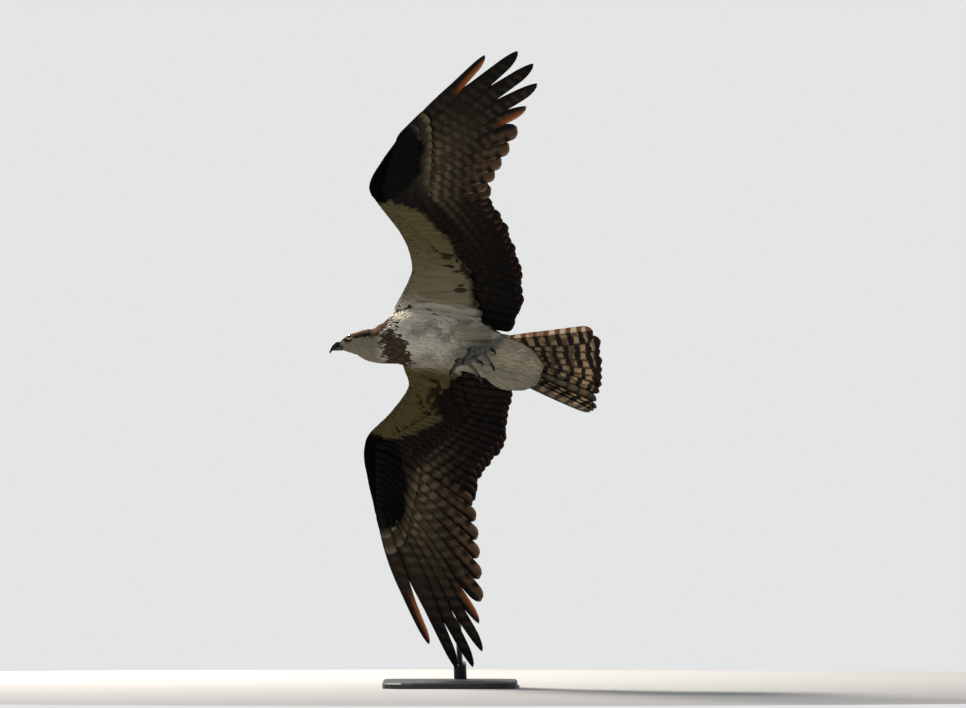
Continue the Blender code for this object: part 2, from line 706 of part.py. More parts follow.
def build_stand(pose_matrix, materials):
    """Flat base with rounded corners, a collar and the slanting rod."""
    top, foot = rod_line(pose_matrix)
    half_x, half_y = BASE_SIZE[0] / 2 - BASE_CORNER, BASE_SIZE[1] / 2 - BASE_CORNER
    rings = []
    for height, inset in ((0.0, 0.0), (BASE_THICKNESS - BASE_CHAMFER, 0.0), (BASE_THICKNESS, BASE_CHAMFER)):
        ring = []
        for corner, (sx, sy) in enumerate(((1, 1), (-1, 1), (-1, -1), (1, -1))):
            for step in range(BASE_CORNER_STEPS + 1):
                angle = math.pi / 2 * (corner + step / BASE_CORNER_STEPS)
                radius = BASE_CORNER - inset
                ring.append(Vector((sx * half_x + radius * math.cos(angle),
                                    sy * half_y + radius * math.sin(angle), height)))
        rings.append(ring)
    base = make_object("stand_base", loft(rings), materials["base"])
    along = (top - foot).normalized()
    collar_top = foot + along * (COLLAR_LENGTH + BASE_THICKNESS)
    collar_low = foot + along * COLLAR_SINK
    collar = make_object("collar", rod_bmesh(collar_low, collar_top, COLLAR_RADIUS), materials["base"])
    combine(base, "UNION", [collar])
    bore = make_object("bore", rod_bmesh(foot - along * GAP, top, ROD_RADIUS + GAP), materials["base"])
    combine(base, "DIFFERENCE", [bore])
    make_object("stand_rod", rod_bmesh(foot, top, ROD_RADIUS), materials["steel"])
    return base


def in_bird_frame(bm, pose_matrix):
    """Move a world-built bmesh into the bird's own level frame."""
    bmesh.ops.transform(bm, matrix=pose_matrix.inverted(), verts=bm.verts)
    return bm


def main():
    """Build every node of the bird and its stand."""
    clear_scene()
    materials = {
        "white_feather": make_material("white_feather", (0.78, 0.75, 0.68), 0.8),
        "brown_feather": make_material("brown_feather", (0.06, 0.045, 0.035), 0.7),
        "tail_feather": make_material("tail_feather", (0.35, 0.24, 0.15), 0.7),
        "horn": make_material("horn", (0.02, 0.02, 0.022), 0.3),
        "iris": make_material("iris", (0.75, 0.5, 0.03), 0.1),
        "scale_skin": make_material("scale_skin", (0.42, 0.46, 0.46), 0.6),
        "base": make_material("base", (0.03, 0.03, 0.032), 0.45),
        "steel": make_material("steel", (0.05, 0.05, 0.052), 0.35, 1.0),
    }
    bird = bpy.data.objects.new("bird_pose", None)
    bpy.context.scene.collection.objects.link(bird)
    pose_matrix = (Matrix.Translation(BIRD_ORIGIN * MM)
                   @ Matrix.Rotation(math.radians(NOSE_UP_DEG), 4, "Y")
                   @ Matrix.Rotation(math.radians(-BANK_DEG), 4, "X"))
    bird.matrix_basis = pose_matrix
    head_pose = bpy.data.objects.new("head_pose", None)
    bpy.context.scene.collection.objects.link(head_pose)
    head_pose.parent = bird
    head_pose.matrix_basis = (Matrix.Translation(HEAD_ORIGIN * MM)
                              @ Matrix.Rotation(math.radians(HEAD_ROLL_DEG), 4, "X")
                              @ Matrix.Rotation(math.radians(HEAD_YAW_DEG), 4, "Z")
                              @ Matrix.Rotation(math.radians(HEAD_PITCH_DEG), 4, "Y"))
    bpy.context.view_layer.update()

    def trunk_cutter():
        return make_object("trunk_cutter", grown(trunk_bmesh()), materials["white_feather"], bird)

    top, foot = rod_line(pose_matrix)
    torso = make_object("torso", trunk_bmesh(), materials["white_feather"], bird)
    along = (top - foot).normalized()
    socket = in_bird_frame(rod_bmesh(foot, top + along * GAP, ROD_RADIUS + GAP), pose_matrix)
    combine(torso, "DIFFERENCE", [make_object("socket", socket, materials["steel"], bird)])

    head = make_object("head", head_bmesh(), materials["white_feather"], head_pose)
    cutters = [make_object("cutter", grown(bill_bmesh(BILL_UPPER)), materials["horn"], head_pose),
               make_object("cutter", grown(bill_bmesh(BILL_LOWER)), materials["horn"], head_pose),
               make_object("cutter", grown(eye_bmesh(LEFT)), materials["iris"], head_pose),
               make_object("cutter", grown(eye_bmesh(RIGHT)), materials["iris"], head_pose)]
    combine(head, "DIFFERENCE", cutters)
    make_object("bill_upper", bill_bmesh(BILL_UPPER), materials["horn"], head_pose)
    lower = make_object("bill_lower", bill_bmesh(BILL_LOWER), materials["horn"], head_pose)
    combine(lower, "DIFFERENCE",
            [make_object("cutter", grown(bill_bmesh(BILL_UPPER)), materials["horn"], head_pose)])
    make_object("eye_left", eye_bmesh(LEFT), materials["iris"], head_pose)
    make_object("eye_right", eye_bmesh(RIGHT), materials["iris"], head_pose)

    neck = make_object("neck", neck_bmesh(), materials["white_feather"], bird)
    combine(neck, "DIFFERENCE", [
        trunk_cutter(), make_object("cutter", grown(head_bmesh()), materials["white_feather"], head_pose)])

    for pose in WINGS:
        build_wing(pose, bird, materials["brown_feather"], trunk_cutter())
    build_tail(bird, materials["tail_feather"], trunk_cutter())

    for name, points, toe_base in LEGS:
        path = [Vector(point[:3]) for point in points]
        radii = [point[3] for point in points]
        stations = smooth_between(round_stations(path, radii), 3)
        thigh = make_object("thigh_" + name, sweep(stations, THIGH_SIDES), materials["white_feather"], bird)
        ankle = path[-1]
        foot_piece = build_foot(name, ankle, toe_base, bird, materials)
        thigh_cut = make_object("cutter", grown(sweep(stations, THIGH_SIDES)), materials["white_feather"], bird)
        combine(foot_piece, "DIFFERENCE", [thigh_cut])
        tail_cut = make_object("cutter", grown(tail_core_bmesh()), materials["white_feather"], bird)
        combine(thigh, "DIFFERENCE", [trunk_cutter(), tail_cut])

    build_stand(pose_matrix, materials)
    for obj in bpy.data.objects:
        if obj.type == "MESH":
            obj.data.shade_smooth()
            obj.data.set_sharp_from_angle(angle=math.radians(35))


main()
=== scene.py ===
"""Looks of a life-size osprey in flight over its stand: skin, plumage, bill, eyes, feet and studio."""

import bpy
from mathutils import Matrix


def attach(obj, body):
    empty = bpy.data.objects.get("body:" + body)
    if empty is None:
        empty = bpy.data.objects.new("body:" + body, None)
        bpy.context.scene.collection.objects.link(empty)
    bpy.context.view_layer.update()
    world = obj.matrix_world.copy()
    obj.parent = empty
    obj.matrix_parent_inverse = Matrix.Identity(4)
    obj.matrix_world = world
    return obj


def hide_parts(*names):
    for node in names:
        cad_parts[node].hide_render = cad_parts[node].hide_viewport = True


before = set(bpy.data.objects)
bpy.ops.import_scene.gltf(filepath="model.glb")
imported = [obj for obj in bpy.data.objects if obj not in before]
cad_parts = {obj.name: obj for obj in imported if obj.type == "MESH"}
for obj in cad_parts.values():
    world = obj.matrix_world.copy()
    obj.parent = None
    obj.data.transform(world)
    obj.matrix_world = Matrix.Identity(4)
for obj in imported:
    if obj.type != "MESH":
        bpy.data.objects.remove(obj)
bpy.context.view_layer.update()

import logging
import math
from dataclasses import dataclass, field
from enum import Enum
from functools import partial
from typing import Callable

import bmesh
import bpy
import numpy as np
from mathutils import Matrix, Vector, noise
from mathutils.bvhtree import BVHTree
from mathutils.kdtree import KDTree

LOG = logging.getLogger("osprey")
MM = 0.001
ROOT_BODY = "root"
SEED = 4211
VANES_A_PIECE = 4400
LONG_VANE_THICK = 0.55
BLUNT_END = 0.12
HALF_REACH = 6.0
rng = np.random.default_rng(SEED)

Array = np.ndarray
Row = tuple[float, ...]
Socket = bpy.types.NodeSocket
Add = Callable[..., Socket]
Tint = Callable[[Array], Array]


class Side(Enum):
    """Side of the bird, as the sign of its crosswise coordinate."""

    LEFT = -1
    RIGHT = 1


def linear(code: str) -> tuple[float, float, float, float]:
    """Linear colour of an sRGB hex code.

    Args:
        code: six hex digits after a hash sign.

    Returns:
        Linear red, green, blue and an alpha of one.
    """
    shares = [int(code[i:i + 2], 16) / 255 for i in (1, 3, 5)]
    values = [s / 12.92 if s <= 0.04045 else ((s + 0.055) / 1.055) ** 2.4 for s in shares]
    return values[0], values[1], values[2], 1.0


def rgb(code: str) -> Array:
    """Linear colour of a hex code as an array of three."""
    return np.array(linear(code)[:3])


def ease(values: Array | float, low: float, high: float) -> Array:
    """Smooth step from 0 at low to 1 at high.

    Args:
        values: numbers to place between the limits.
        low: where the step starts.
        high: where the step ends.

    Returns:
        Shares from 0 to 1.
    """
    t = np.clip((np.asarray(values, float) - low) / (high - low), 0.0, 1.0)
    return t * t * (3.0 - 2.0 * t)


def read_rows(rows: tuple[Row, ...], at: Array | float, column: int = 0, place: int = -1) -> Array:
    """Value of a short list of control rows at one or more places.

    Args:
        rows: control rows.
        at: places to read.
        column: which number of a row is read.
        place: which number of a row is its place.

    Returns:
        Interpolated values.
    """
    return np.interp(at, [row[place] for row in rows], [row[column] for row in rows])


def unit(vectors: Array) -> Array:
    """Vectors scaled to a length of one."""
    return vectors / np.maximum(np.linalg.norm(vectors, axis=-1, keepdims=True), 1e-9)


@dataclass(frozen=True)
class BirdPose:
    """Where the bird's own level frame stands: x to the tail, y to its right, z up, in millimetres."""

    origin: tuple[float, float, float] = (-20.0, -140.0, 700.0)
    bank_deg: float = 66.0
    nose_up_deg: float = 5.5

    def matrix(self) -> Matrix:
        """Matrix from the bird's frame to the world, both in millimetres.

        Returns:
            The matrix.
        """
        pitch = Matrix.Rotation(math.radians(self.nose_up_deg), 4, "Y")
        bank = Matrix.Rotation(math.radians(-self.bank_deg), 4, "X")
        return Matrix.Translation(self.origin) @ pitch @ bank

    def to_world(self, points: Array) -> Array:
        """World metres of points in the bird's frame."""
        m = np.array(self.matrix())
        return (points @ m[:3, :3].T + m[:3, 3]) * MM


@dataclass(frozen=True)
class HeadPose:
    """Where the head's own frame sits in the bird's frame."""

    origin: tuple[float, float, float] = (-175.0, 19.0, -31.0)
    roll_deg: float = 26.0
    yaw_deg: float = -5.0
    pitch_deg: float = -12.0

    def matrix(self) -> Matrix:
        """Matrix from the head's frame to the bird's.

        Returns:
            The matrix.
        """
        turns = ((self.roll_deg, "X"), (self.yaw_deg, "Z"), (self.pitch_deg, "Y"))
        matrix = Matrix.Translation(self.origin)
        for degrees, axis in turns:
            matrix = matrix @ Matrix.Rotation(math.radians(degrees), 4, axis)
        return matrix


POSE = BirdPose()
HEAD = HeadPose()


def carry(points: Array, matrix: Matrix) -> Array:
    """Points moved by a matrix."""
    m = np.array(matrix)
    return points @ m[:3, :3].T + m[:3, 3]


# Short names of the nodes used most: type, settings, inputs in the order in which they are given, output.
KINDS = {
    **{sign: ("Math", {"operation": word}, range(3), 0) for sign, word in (
        ("*", "MULTIPLY"), ("-", "SUBTRACT"), ("/", "DIVIDE"), ("*+", "MULTIPLY_ADD"), ("max", "MAXIMUM"),
        ("sin", "SINE"), ("abs", "ABSOLUTE"), ("<", "LESS_THAN"))},
    "step": ("MapRange", {"interpolation_type": "SMOOTHSTEP"}, range(3), 0),
    "blend": ("Mix", {"data_type": "RGBA"}, (0, 6, 7), 2),
    "scale": ("VectorMath", {"operation": "SCALE"}, (0, "Scale"), 0),
    "noise": ("TexNoise", {}, ("Vector", "Scale", "Detail"), 0),
    "flat noise": ("TexNoise", {"noise_dimensions": "2D"}, ("Vector", "Scale", "Detail"), 0),
    "tint": ("Attribute", {"attribute_name": "Plume"}, (), "Color"),
    "vane": ("UVMap", {"uv_map": "Vane"}, (), "UV"),
    "spot": ("TexCoord", {}, (), "Object")}


def add_node(tree: bpy.types.NodeTree, kind: str, *inputs: object, output: int | str | None = None,
             **settings: object) -> Socket | None:
    """Add one shader node with its settings and links.

    Args:
        tree: node tree that takes the node.
        kind: short name of the node, or Blender's type name without the words ShaderNode.
        *inputs: numbers, hex colours or sockets in the inputs' order, or a dict of them by name.
        output: which output is handed back.
        **settings: properties of the node.

    Returns:
        The wanted output, from which the node can be reached, or None where the node has none.
    """
    word, preset, slots, first = KINDS.get(kind, (kind, {}, range(9), 0))
    node = tree.nodes.new("ShaderNode" + word)
    for name, value in {**preset, **settings}.items():
        setattr(node, name, value)
    values = {}
    for slot, value in zip(slots, inputs):
        values.update(value if isinstance(value, dict) else {slot: value})
    for name, value in values.items():
        if isinstance(value, Socket):
            tree.links.new(value, node.inputs[name])
        else:
            node.inputs[name].default_value = linear(value) if isinstance(value, str) else value
    return node.outputs[first if output is None else output] if node.outputs else None


class Finish:
    """One material of the model, built from procedural nodes."""

    name: str

    def look(self, add: Add) -> None:
        """Add the material's own nodes; every finish has its own."""
        raise NotImplementedError

    def material(self) -> bpy.types.Material:
        """Make the material.

        Returns:
            The material.
        """
        material = bpy.data.materials.new(self.name)
        material.use_nodes = True
        material.node_tree.nodes.clear()
        self.look(partial(add_node, material.node_tree))
        return material

    def close(self, add: Add, colour: Socket | str, roughness: Socket | float,
              height: Socket | None = None, depth_mm: float = 0.1, gloss: float = 0.5,
              **sockets: object) -> None:
        """Close the material with one principled shader and its bump.

        Args:
            add: adds a node to the material.
            colour: base colour.
            roughness: roughness of the surface.
            height: bump height from 0 to 1, if any.
            depth_mm: depth of the bump in millimetres.
            gloss: strength of the mirror reflection.
            **sockets: constants for the shader's other inputs.
        """
        inputs = {"Base Color": colour, "Roughness": roughness, "Specular IOR Level": gloss, **sockets}
        if height is not None:
            inputs["Normal"] = add("Bump", {"Distance": depth_mm * MM, "Height": height})
        add("OutputMaterial", {"Surface": add("BsdfPrincipled", inputs)})


@dataclass(frozen=True)
class ContourFinish(Finish):
    """Keratin body feathers, soft and barbed: matt, with a faint shaft and fine barbs across the vane."""

    name: str = "contour_feather_keratin"
    # Real barbs are too fine to show in a feather of 20 mm, so they are drawn 0.8 mm apart.
    barbs_across: float = 26.0
    roughness: float = 0.82

    def look(self, add: Add) -> None:
        """Nodes of a material that reads each vane's own map and tint.

        Args:
            add: adds a node to the material.
        """
        place = add("SeparateXYZ", add("vane")).node.outputs
        across = add("abs", add("*+", place[0], 2.0, -1.0))
        # Barbs leave the shaft at a slant, so the stripes run on across plus along.
        slant = add("*+", across, -0.55, place[1])
        barb = add("sin", add("*", slant, self.barbs_across * math.tau))
        shaft = add("step", across, 0.1, 0.03)
        shade = add("*+", barb, 0.04, 0.98)
        # Painted shade: each vane is darker towards its root, where other feathers lie over it.
        shade = add("*+", add("step", place[1], 0.5, 0.0), -0.1, shade)
        colour = add("scale", add("tint"), shade)
        height = add("*+", shaft, 0.6, add("*", barb, 0.3))
        self.close(add, colour, self.roughness, height, 0.04, gloss=0.04)


@dataclass(frozen=True)
class BarredFinish(Finish):
    """What the flight and tail feathers' materials share."""

    # Real barbs stand about 0.4 mm apart, too fine to show, so they are drawn four times as coarse.
    barb_mm: float = 1.6

    def maps(self, add: Add, grain: float, patches: float) -> tuple:
        """Read a feather's maps and traits.

        Args:
            add: adds a node to the material.
            grain: scale of the fine noise.
            patches: scale of the coarse noise.

        Returns:
            Node of the traits, their parts, place in metres, side from -1 to 1, its size and both noises.
        """
        traits = add("Attribute", attribute_name="Traits").node
        metres = add("UVMap", output="UV", uv_map="Metres")
        place = add("SeparateXYZ", add("vane"))
        side = add("*+", place, 2.0, -1.0)
        return (traits, add("SeparateColor", traits.outputs["Color"]).node.outputs,
                add("SeparateXYZ", metres).node.outputs, side, add("abs", side),
                add("flat noise", metres, grain, 2.0), add("flat noise", metres, patches, 1.0))

    def barbs(self, add: Add, real: list[Socket]) -> Socket:
        """Wave of the barbs, which leave the shaft at a slant.

        Args:
            add: adds a node to the material.
            real: place on the feather in metres.

        Returns:
            Wave from -1 to 1.
        """
        slant = add("*+", add("abs", real[0]), 0.9, real[1])
        return add("sin", add("*", slant, math.tau / (self.barb_mm * MM)))


@dataclass(frozen=True)
class FlightFinish(BarredFinish):
    """Keratin flight feathers, stiff and barred: dark, with pale bars on the inner web and painted backlight
    on the fringes.
    """

    name: str = "flight_feather_keratin"
    pale: str = "#8c7b5c"
    backlit_fringe: str = "#6e4a38"
    backlit_tan: str = "#a98b69"
    backlit_umber: str = "#6a503a"
    glow: str = "#84441f"
    peach: str = "#dd9560"
    shaft: str = "#1c130d"
    bar_mm: float = 24.0
    tip_dark_mm: float = 46.0
    bars_start_mm: float = 95.0
    bars_end_mm: float = 190.0
    tip_lit_mm: float = 6.0
    web_mm: float = 135.0

    def look(self, add: Add) -> None:
        """Nodes of a material that reads each feather's map in millimetres and its traits.

        Args:
            add: adds a node to the material.
        """
        ground = add("tint")
        traits, trait, real, side, width, noise, broken = self.maps(add, 90.0, 38.0)
        # Bars stand at equal distances from the root, so that they line up from feather to feather.
        from_root = add("-", traits.outputs["Alpha"], real[1])
        wander = add("*+", noise, 0.012, from_root)
        bent = add("*+", width, -0.006, wander)
        wave = add("sin", add("*", bent, math.tau / (self.bar_mm * MM)))
        bar = add("step", wave, -0.9, 1.0)
        inner = add("step", side, 0.7, -0.2)
        body = add("step", real[1], self.tip_dark_mm * MM * 0.4, self.tip_dark_mm * MM)
        fade = add("step", from_root, self.bars_end_mm * MM, self.bars_start_mm * MM)
        fade = add("*", add("*+", fade, 0.7, 0.3), add("step", broken, 0.2, 0.6))
        pale_share = add("*", add("*", bar, inner), body)
        pale_share = add("*", pale_share, fade)
        pale_share = add("*", pale_share, trait[0], use_clamp=True)
        colour = add("blend", pale_share, ground, self.pale)
        # Painted light: the thin inner webs of the hand's shorter feathers let light through towards their
        # ends, painted there in a paler umber.
        hand = add("*+", trait[0], 3.2, -1.05, use_clamp=True)
        ends = add("*", add("step", side, 0.3, -0.5), add("step", real[1], 110.0 * MM, 20.0 * MM))
        ends = add("*", add("*", ends, hand), 0.85)
        ends = add("*", ends, add("step", broken, 0.34, 0.6))
        colour = add("blend", ends, colour, self.backlit_umber)
        # Painted light: light shines through the frayed ends and the rear edges, where no other feather lies
        # behind, and is painted there in paler colours.
        tip = add("step", real[1], self.tip_lit_mm * MM, 1.0 * MM)
        open_mm = add("*+", trait[0], 110.0 * MM, 6.0 * MM)
        rim = add("*", add("step", side, -0.62, -1.0), add("<", real[1], open_mm))
        lit = add("max", tip, rim)
        ragged = add("*+", noise, 2.2, -0.5)
        ragged = add("*", ragged, add("step", broken, 0.3, 0.52))
        lit = add("*", add("*", lit, ragged), trait[1], use_clamp=True)
        colour = add("blend", lit, colour, add("blend", hand, self.backlit_fringe, self.backlit_tan))
        # Painted glow: the inner webs of the primaries in lit_webs are painted rufous to peach where light
        # would shine through them.
        reach = add("*", trait[2], self.web_mm * MM)
        past = add("/", real[1], add("max", reach, 0.0001))
        open_web = add("step", past, 1.0, 0.4)
        web = add("*", add("step", side, -0.1, -0.75), add("step", real[1], 4.0 * MM, 24.0 * MM))
        web = add("*", add("*", web, open_web), trait[2])
        thin = add("*", add("step", side, -0.55, -1.0), add("step", past, 0.85, 0.3))
        glow = add("blend", add("*", thin, 0.8), self.glow, self.peach)
        colour = add("blend", add("*", web, 2.0, use_clamp=True), colour, glow)
        shaft = add("step", width, 0.085, 0.03)
        colour = add("blend", add("*", shaft, 0.75), colour, self.shaft)
        barb = self.barbs(add, real)
        shade = add("*+", barb, 0.06, 1.0)
        shade = add("*+", noise, 0.3, add("-", shade, 0.15))
        colour = add("scale", colour, shade)
        height = add("*+", shaft, 0.8, add("*", barb, 0.25))
        self.close(add, colour, 0.62, height, 0.18, gloss=0.07)


@dataclass(frozen=True)
class TailFinish(BarredFinish):
    """Keratin tail feathers: buff vanes with broad dark bars, a wide dark end band and a thin pale tip."""

    name: str = "tail_feather_keratin"
    dark: str = "#1d1610"
    pale: str = "#cdb48c"
    warm: str = "#a87f56"
    shade: str = "#6a5a42"
    lit_cream: str = "#f2d9b4"
    rufous: str = "#8a5a3a"
    olive: str = "#3a3a2e"
    bar_mm: float = 24.0
    band_mm: float = 17.0

    def look(self, add: Add) -> None:
        """Nodes of a material that reads each feather's map in millimetres.

        Args:
            add: adds a node to the material.
        """
        _, trait, real, side, width, noise, broken = self.maps(add, 80.0, 55.0)
        bent = add("*+", noise, 0.01, add("*+", trait[2], 0.014, real[1]))
        bent = add("*+", width, 0.004, bent)
        wave = add("sin", add("*+", bent, math.tau / (self.bar_mm * MM), -1.7))
        bar = add("step", wave, -0.35, 0.55)
        band = add("step", real[1], self.band_mm * MM, self.band_mm * 0.75 * MM)
        dark_share = add("max", bar, band, use_clamp=True)
        # The narrow outer web stays dark, and both edges are darkened as painted shadow between the
        # overlapping feathers, less so on the painted sunlit strip, so that pale squares stand on the inner
        # web alone.
        sunlit = add("*", trait[1], add("step", side, 0.1, 0.3))
        sunlit = add("*", sunlit, add("step", real[1], 214.0 * MM, 150.0 * MM))
        edges = add("max", add("step", width, 0.74, 0.95), add("step", side, 0.0, 0.5))
        edges = add("*", edges, add("*+", sunlit, -0.9, 0.9))
        dark_share = add("max", dark_share, edges)
        worn = add("step", broken, 0.68, 0.42)
        dark_share = add("max", dark_share, add("*+", worn, -0.75, 0.75))
        dull = add("*+", trait[0], -0.9, 0.9)
        dark_share = add("max", dark_share, dull)
        pale = add("blend", noise, self.pale, self.warm)
        near_tip = add("step", real[1], 110.0 * MM, 30.0 * MM)
        pale = add("blend", add("*+", near_tip, 0.6, 0.4), self.shade, pale)
        # Painted sunlight: on the sunlit strip the pale squares turn cream and the dark bars rufous.
        pale = add("blend", sunlit, pale, self.lit_cream)
        dark = add("blend", sunlit, self.dark, self.rufous)
        dark = add("blend", add("*", dull, 0.8), dark, self.olive)
        colour = add("blend", dark_share, pale, dark)
        tip = add("step", add("*+", noise, 0.006, real[1]), 9.0 * MM, 3.0 * MM)
        colour = add("blend", add("*", tip, 0.75), colour, self.rufous)
        shaft = add("step", width, 0.08, 0.03)
        colour = add("blend", add("*", shaft, 0.7), colour, self.dark)
        barb = self.barbs(add, real)
        shade = add("*+", barb, 0.05, 1.0)
        colour = add("scale", colour, shade)
        height = add("*+", shaft, 0.8, add("*", barb, 0.25))
        self.close(add, colour, 0.6, height, 0.18, gloss=0.12)


@dataclass(frozen=True)
class SkinFinish(Finish):
    """Feathered hide under the coat: matt skin that carries the coat's own markings."""

    name: str = "hide"

    def look(self, add: Add) -> None:
        """Nodes of a material that reads the markings' tint.

        Args:
            add: adds a node to the material.
        """
        down = add("noise", add("spot"), 900.0, 3.0)
        colour = add("scale", add("tint"), add("*+", down, 0.3, 0.6))
        self.close(add, colour, 0.9, down, 0.5, gloss=0.15)


@dataclass(frozen=True)
class HornFinish(Finish):
    """Bill and claw horn, grown in layers and worn smooth: near-black, softly glossy, with growth lines."""

    name: str
    tip: str = "#0d0c0d"
    base: str = "#2b2f36"
    roughness: float = 0.28

    def look(self, add: Add) -> None:
        """Nodes of a material that reads a share from base to tip.

        Args:
            add: adds a node to the material.
        """
        share = add("SeparateColor", add("tint"))
        lines = add("noise", add("spot"), 700.0, 4.0)
        colour = add("blend", share, self.tip, self.base)
        rough = add("*+", share, 0.25, add("*+", lines, 0.25, self.roughness))
        self.close(add, colour, rough, lines, 0.08, **{"Coat Weight": 0.15})


@dataclass(frozen=True)
class ScaleFinish(Finish):
    """Reticulate foot skin, small rough scutes with dark seams: pale blue-grey and dry."""

    name: str = "scute_skin"
    scute: str = "#9fa39b"
    seam: str = "#4a4b45"
    stain: str = "#6f7269"
    scute_mm: float = 2.2

    def look(self, add: Add) -> None:
        """Nodes of a material with a cell pattern at the scutes' real size.

        Args:
            add: adds a node to the material.
        """
        spot = add("spot")
        cells = add("TexVoronoi", {"Vector": spot, "Scale": 1.0 / (self.scute_mm * MM)},
                    feature="DISTANCE_TO_EDGE")
        raised = add("step", cells, 0.02, 0.22)
        skin = add("blend", add("noise", spot, 120.0, 3.0), self.scute, self.stain)
        colour = add("blend", raised, self.seam, skin)
        self.close(add, colour, 0.6, raised, 0.5, gloss=0.35)


@dataclass(frozen=True)
class EyeFinish(Finish):
    """Glass taxidermy eye: yellow iris with fine streaks, round black pupil and a wet gloss."""

    name: str = "glass_eye"
    iris: str = "#c9981f"
    ring: str = "#6a3d0c"
    streaks: str = "#f2cf57"
    pupil: str = "#040404"
    lids: str = "#0d0907"

    def look(self, add: Add) -> None:
        """Nodes of a material that reads the angle off the eye's axis.

        Args:
            add: adds a node to the material.
        """
        parts = add("SeparateColor", add("tint")).node.outputs
        streak = add("TexNoise", {"W": parts[1], "Scale": 60.0, "Detail": 2.0}, noise_dimensions="1D")
        iris = add("blend", streak, self.iris, self.streaks)
        iris = add("blend", add("step", parts[0], 0.62, 0.76), iris, self.ring)
        colour = add("blend", add("step", parts[0], 0.43, 0.39), iris, self.pupil)
        colour = add("blend", add("step", parts[0], 0.78, 0.84), colour, self.lids)
        self.close(add, colour, 0.06, **{"Coat Weight": 1.0, "Coat Roughness": 0.02})


@dataclass(frozen=True)
class PaintFinish(Finish):
    """Powder-coated steel plate, sprayed and baked: satin black with a fine orange-peel surface."""

    name: str = "powder_coated_steel"
    colour: str = "#24262a"
    worn: str = "#3a3d42"
    grain_mm: float = 1.5

    def look(self, add: Add) -> None:
        """Nodes of a material for the stand's base.

        Args:
            add: adds a node to the material.
        """
        spot = add("spot")
        peel = add("noise", spot, 1.0 / (self.grain_mm * MM), 2.0)
        wear = add("noise", spot, 14.0, 4.0)
        colour = add("blend", add("*", wear, 0.4), self.colour, self.worn)
        self.close(add, colour, add("*+", wear, 0.2, 0.35), peel, 0.12)


@dataclass(frozen=True)
class RodFinish(Finish):
    """Blued steel rod, drawn and brushed lengthwise: dark metal with a long soft highlight."""

    name: str = "blued_steel"
    colour: str = "#5b5e63"

    def look(self, add: Add) -> None:
        """Nodes of a material for the stand's rod.

        Args:
            add: adds a node to the material.
        """
        drawn = add("Mapping", {"Vector": add("spot"), "Scale": (900.0, 900.0, 20.0)})
        lines = add("TexNoise", {"Vector": drawn, "Scale": 1.0})
        self.close(add, self.colour, add("*+", lines, 0.2, 0.25), lines, 0.03, Metallic=1.0)


@dataclass(frozen=True)
class PaperFinish(Finish):
    """Seamless studio paper: pale, plain and matt."""

    name: str = "matt_paper"
    colour: str = "#b4b5b6"

    def look(self, add: Add) -> None:
        """Nodes of a plain material."""
        self.close(add, self.colour, 0.9)


@dataclass(frozen=True)
class VaneTemplate:
    """One closed vane as a grid of rows and columns with two faces, cut for an array."""

    rows: int
    columns: int

    def arrays(self) -> tuple[Array, Array, Array, Array]:
        """Build the grid.

        Returns:
            Place across from -1 to 1, row number, face side as -1 or 1, and the quads.
        """
        bm = bmesh.new()
        bmesh.ops.create_grid(bm, x_segments=self.columns - 1, y_segments=self.rows - 1, size=0.5)
        bmesh.ops.solidify(bm, geom=bm.faces[:], thickness=0.1)
        bmesh.ops.recalc_face_normals(bm, faces=bm.faces)
        bm.verts.index_update()
        places = np.array([v.co[:] for v in bm.verts])
        quads = np.array([[v.index for v in f.verts] for f in bm.faces])
        bm.free()
        across = places[:, 0] * 2.0
        row = np.rint((places[:, 1] + 0.5) * (self.rows - 1)).astype(int)
        layer = np.where(places[:, 2] > places[:, 2].mean(), 1.0, -1.0)
        return across, row, layer, quads

    def shares(self) -> Array:
        """Shares of a long vane's length at its rows, closer together towards its tip."""
        return 1.0 - (1.0 - np.linspace(0.0, 1.0, self.rows)) ** 1.3


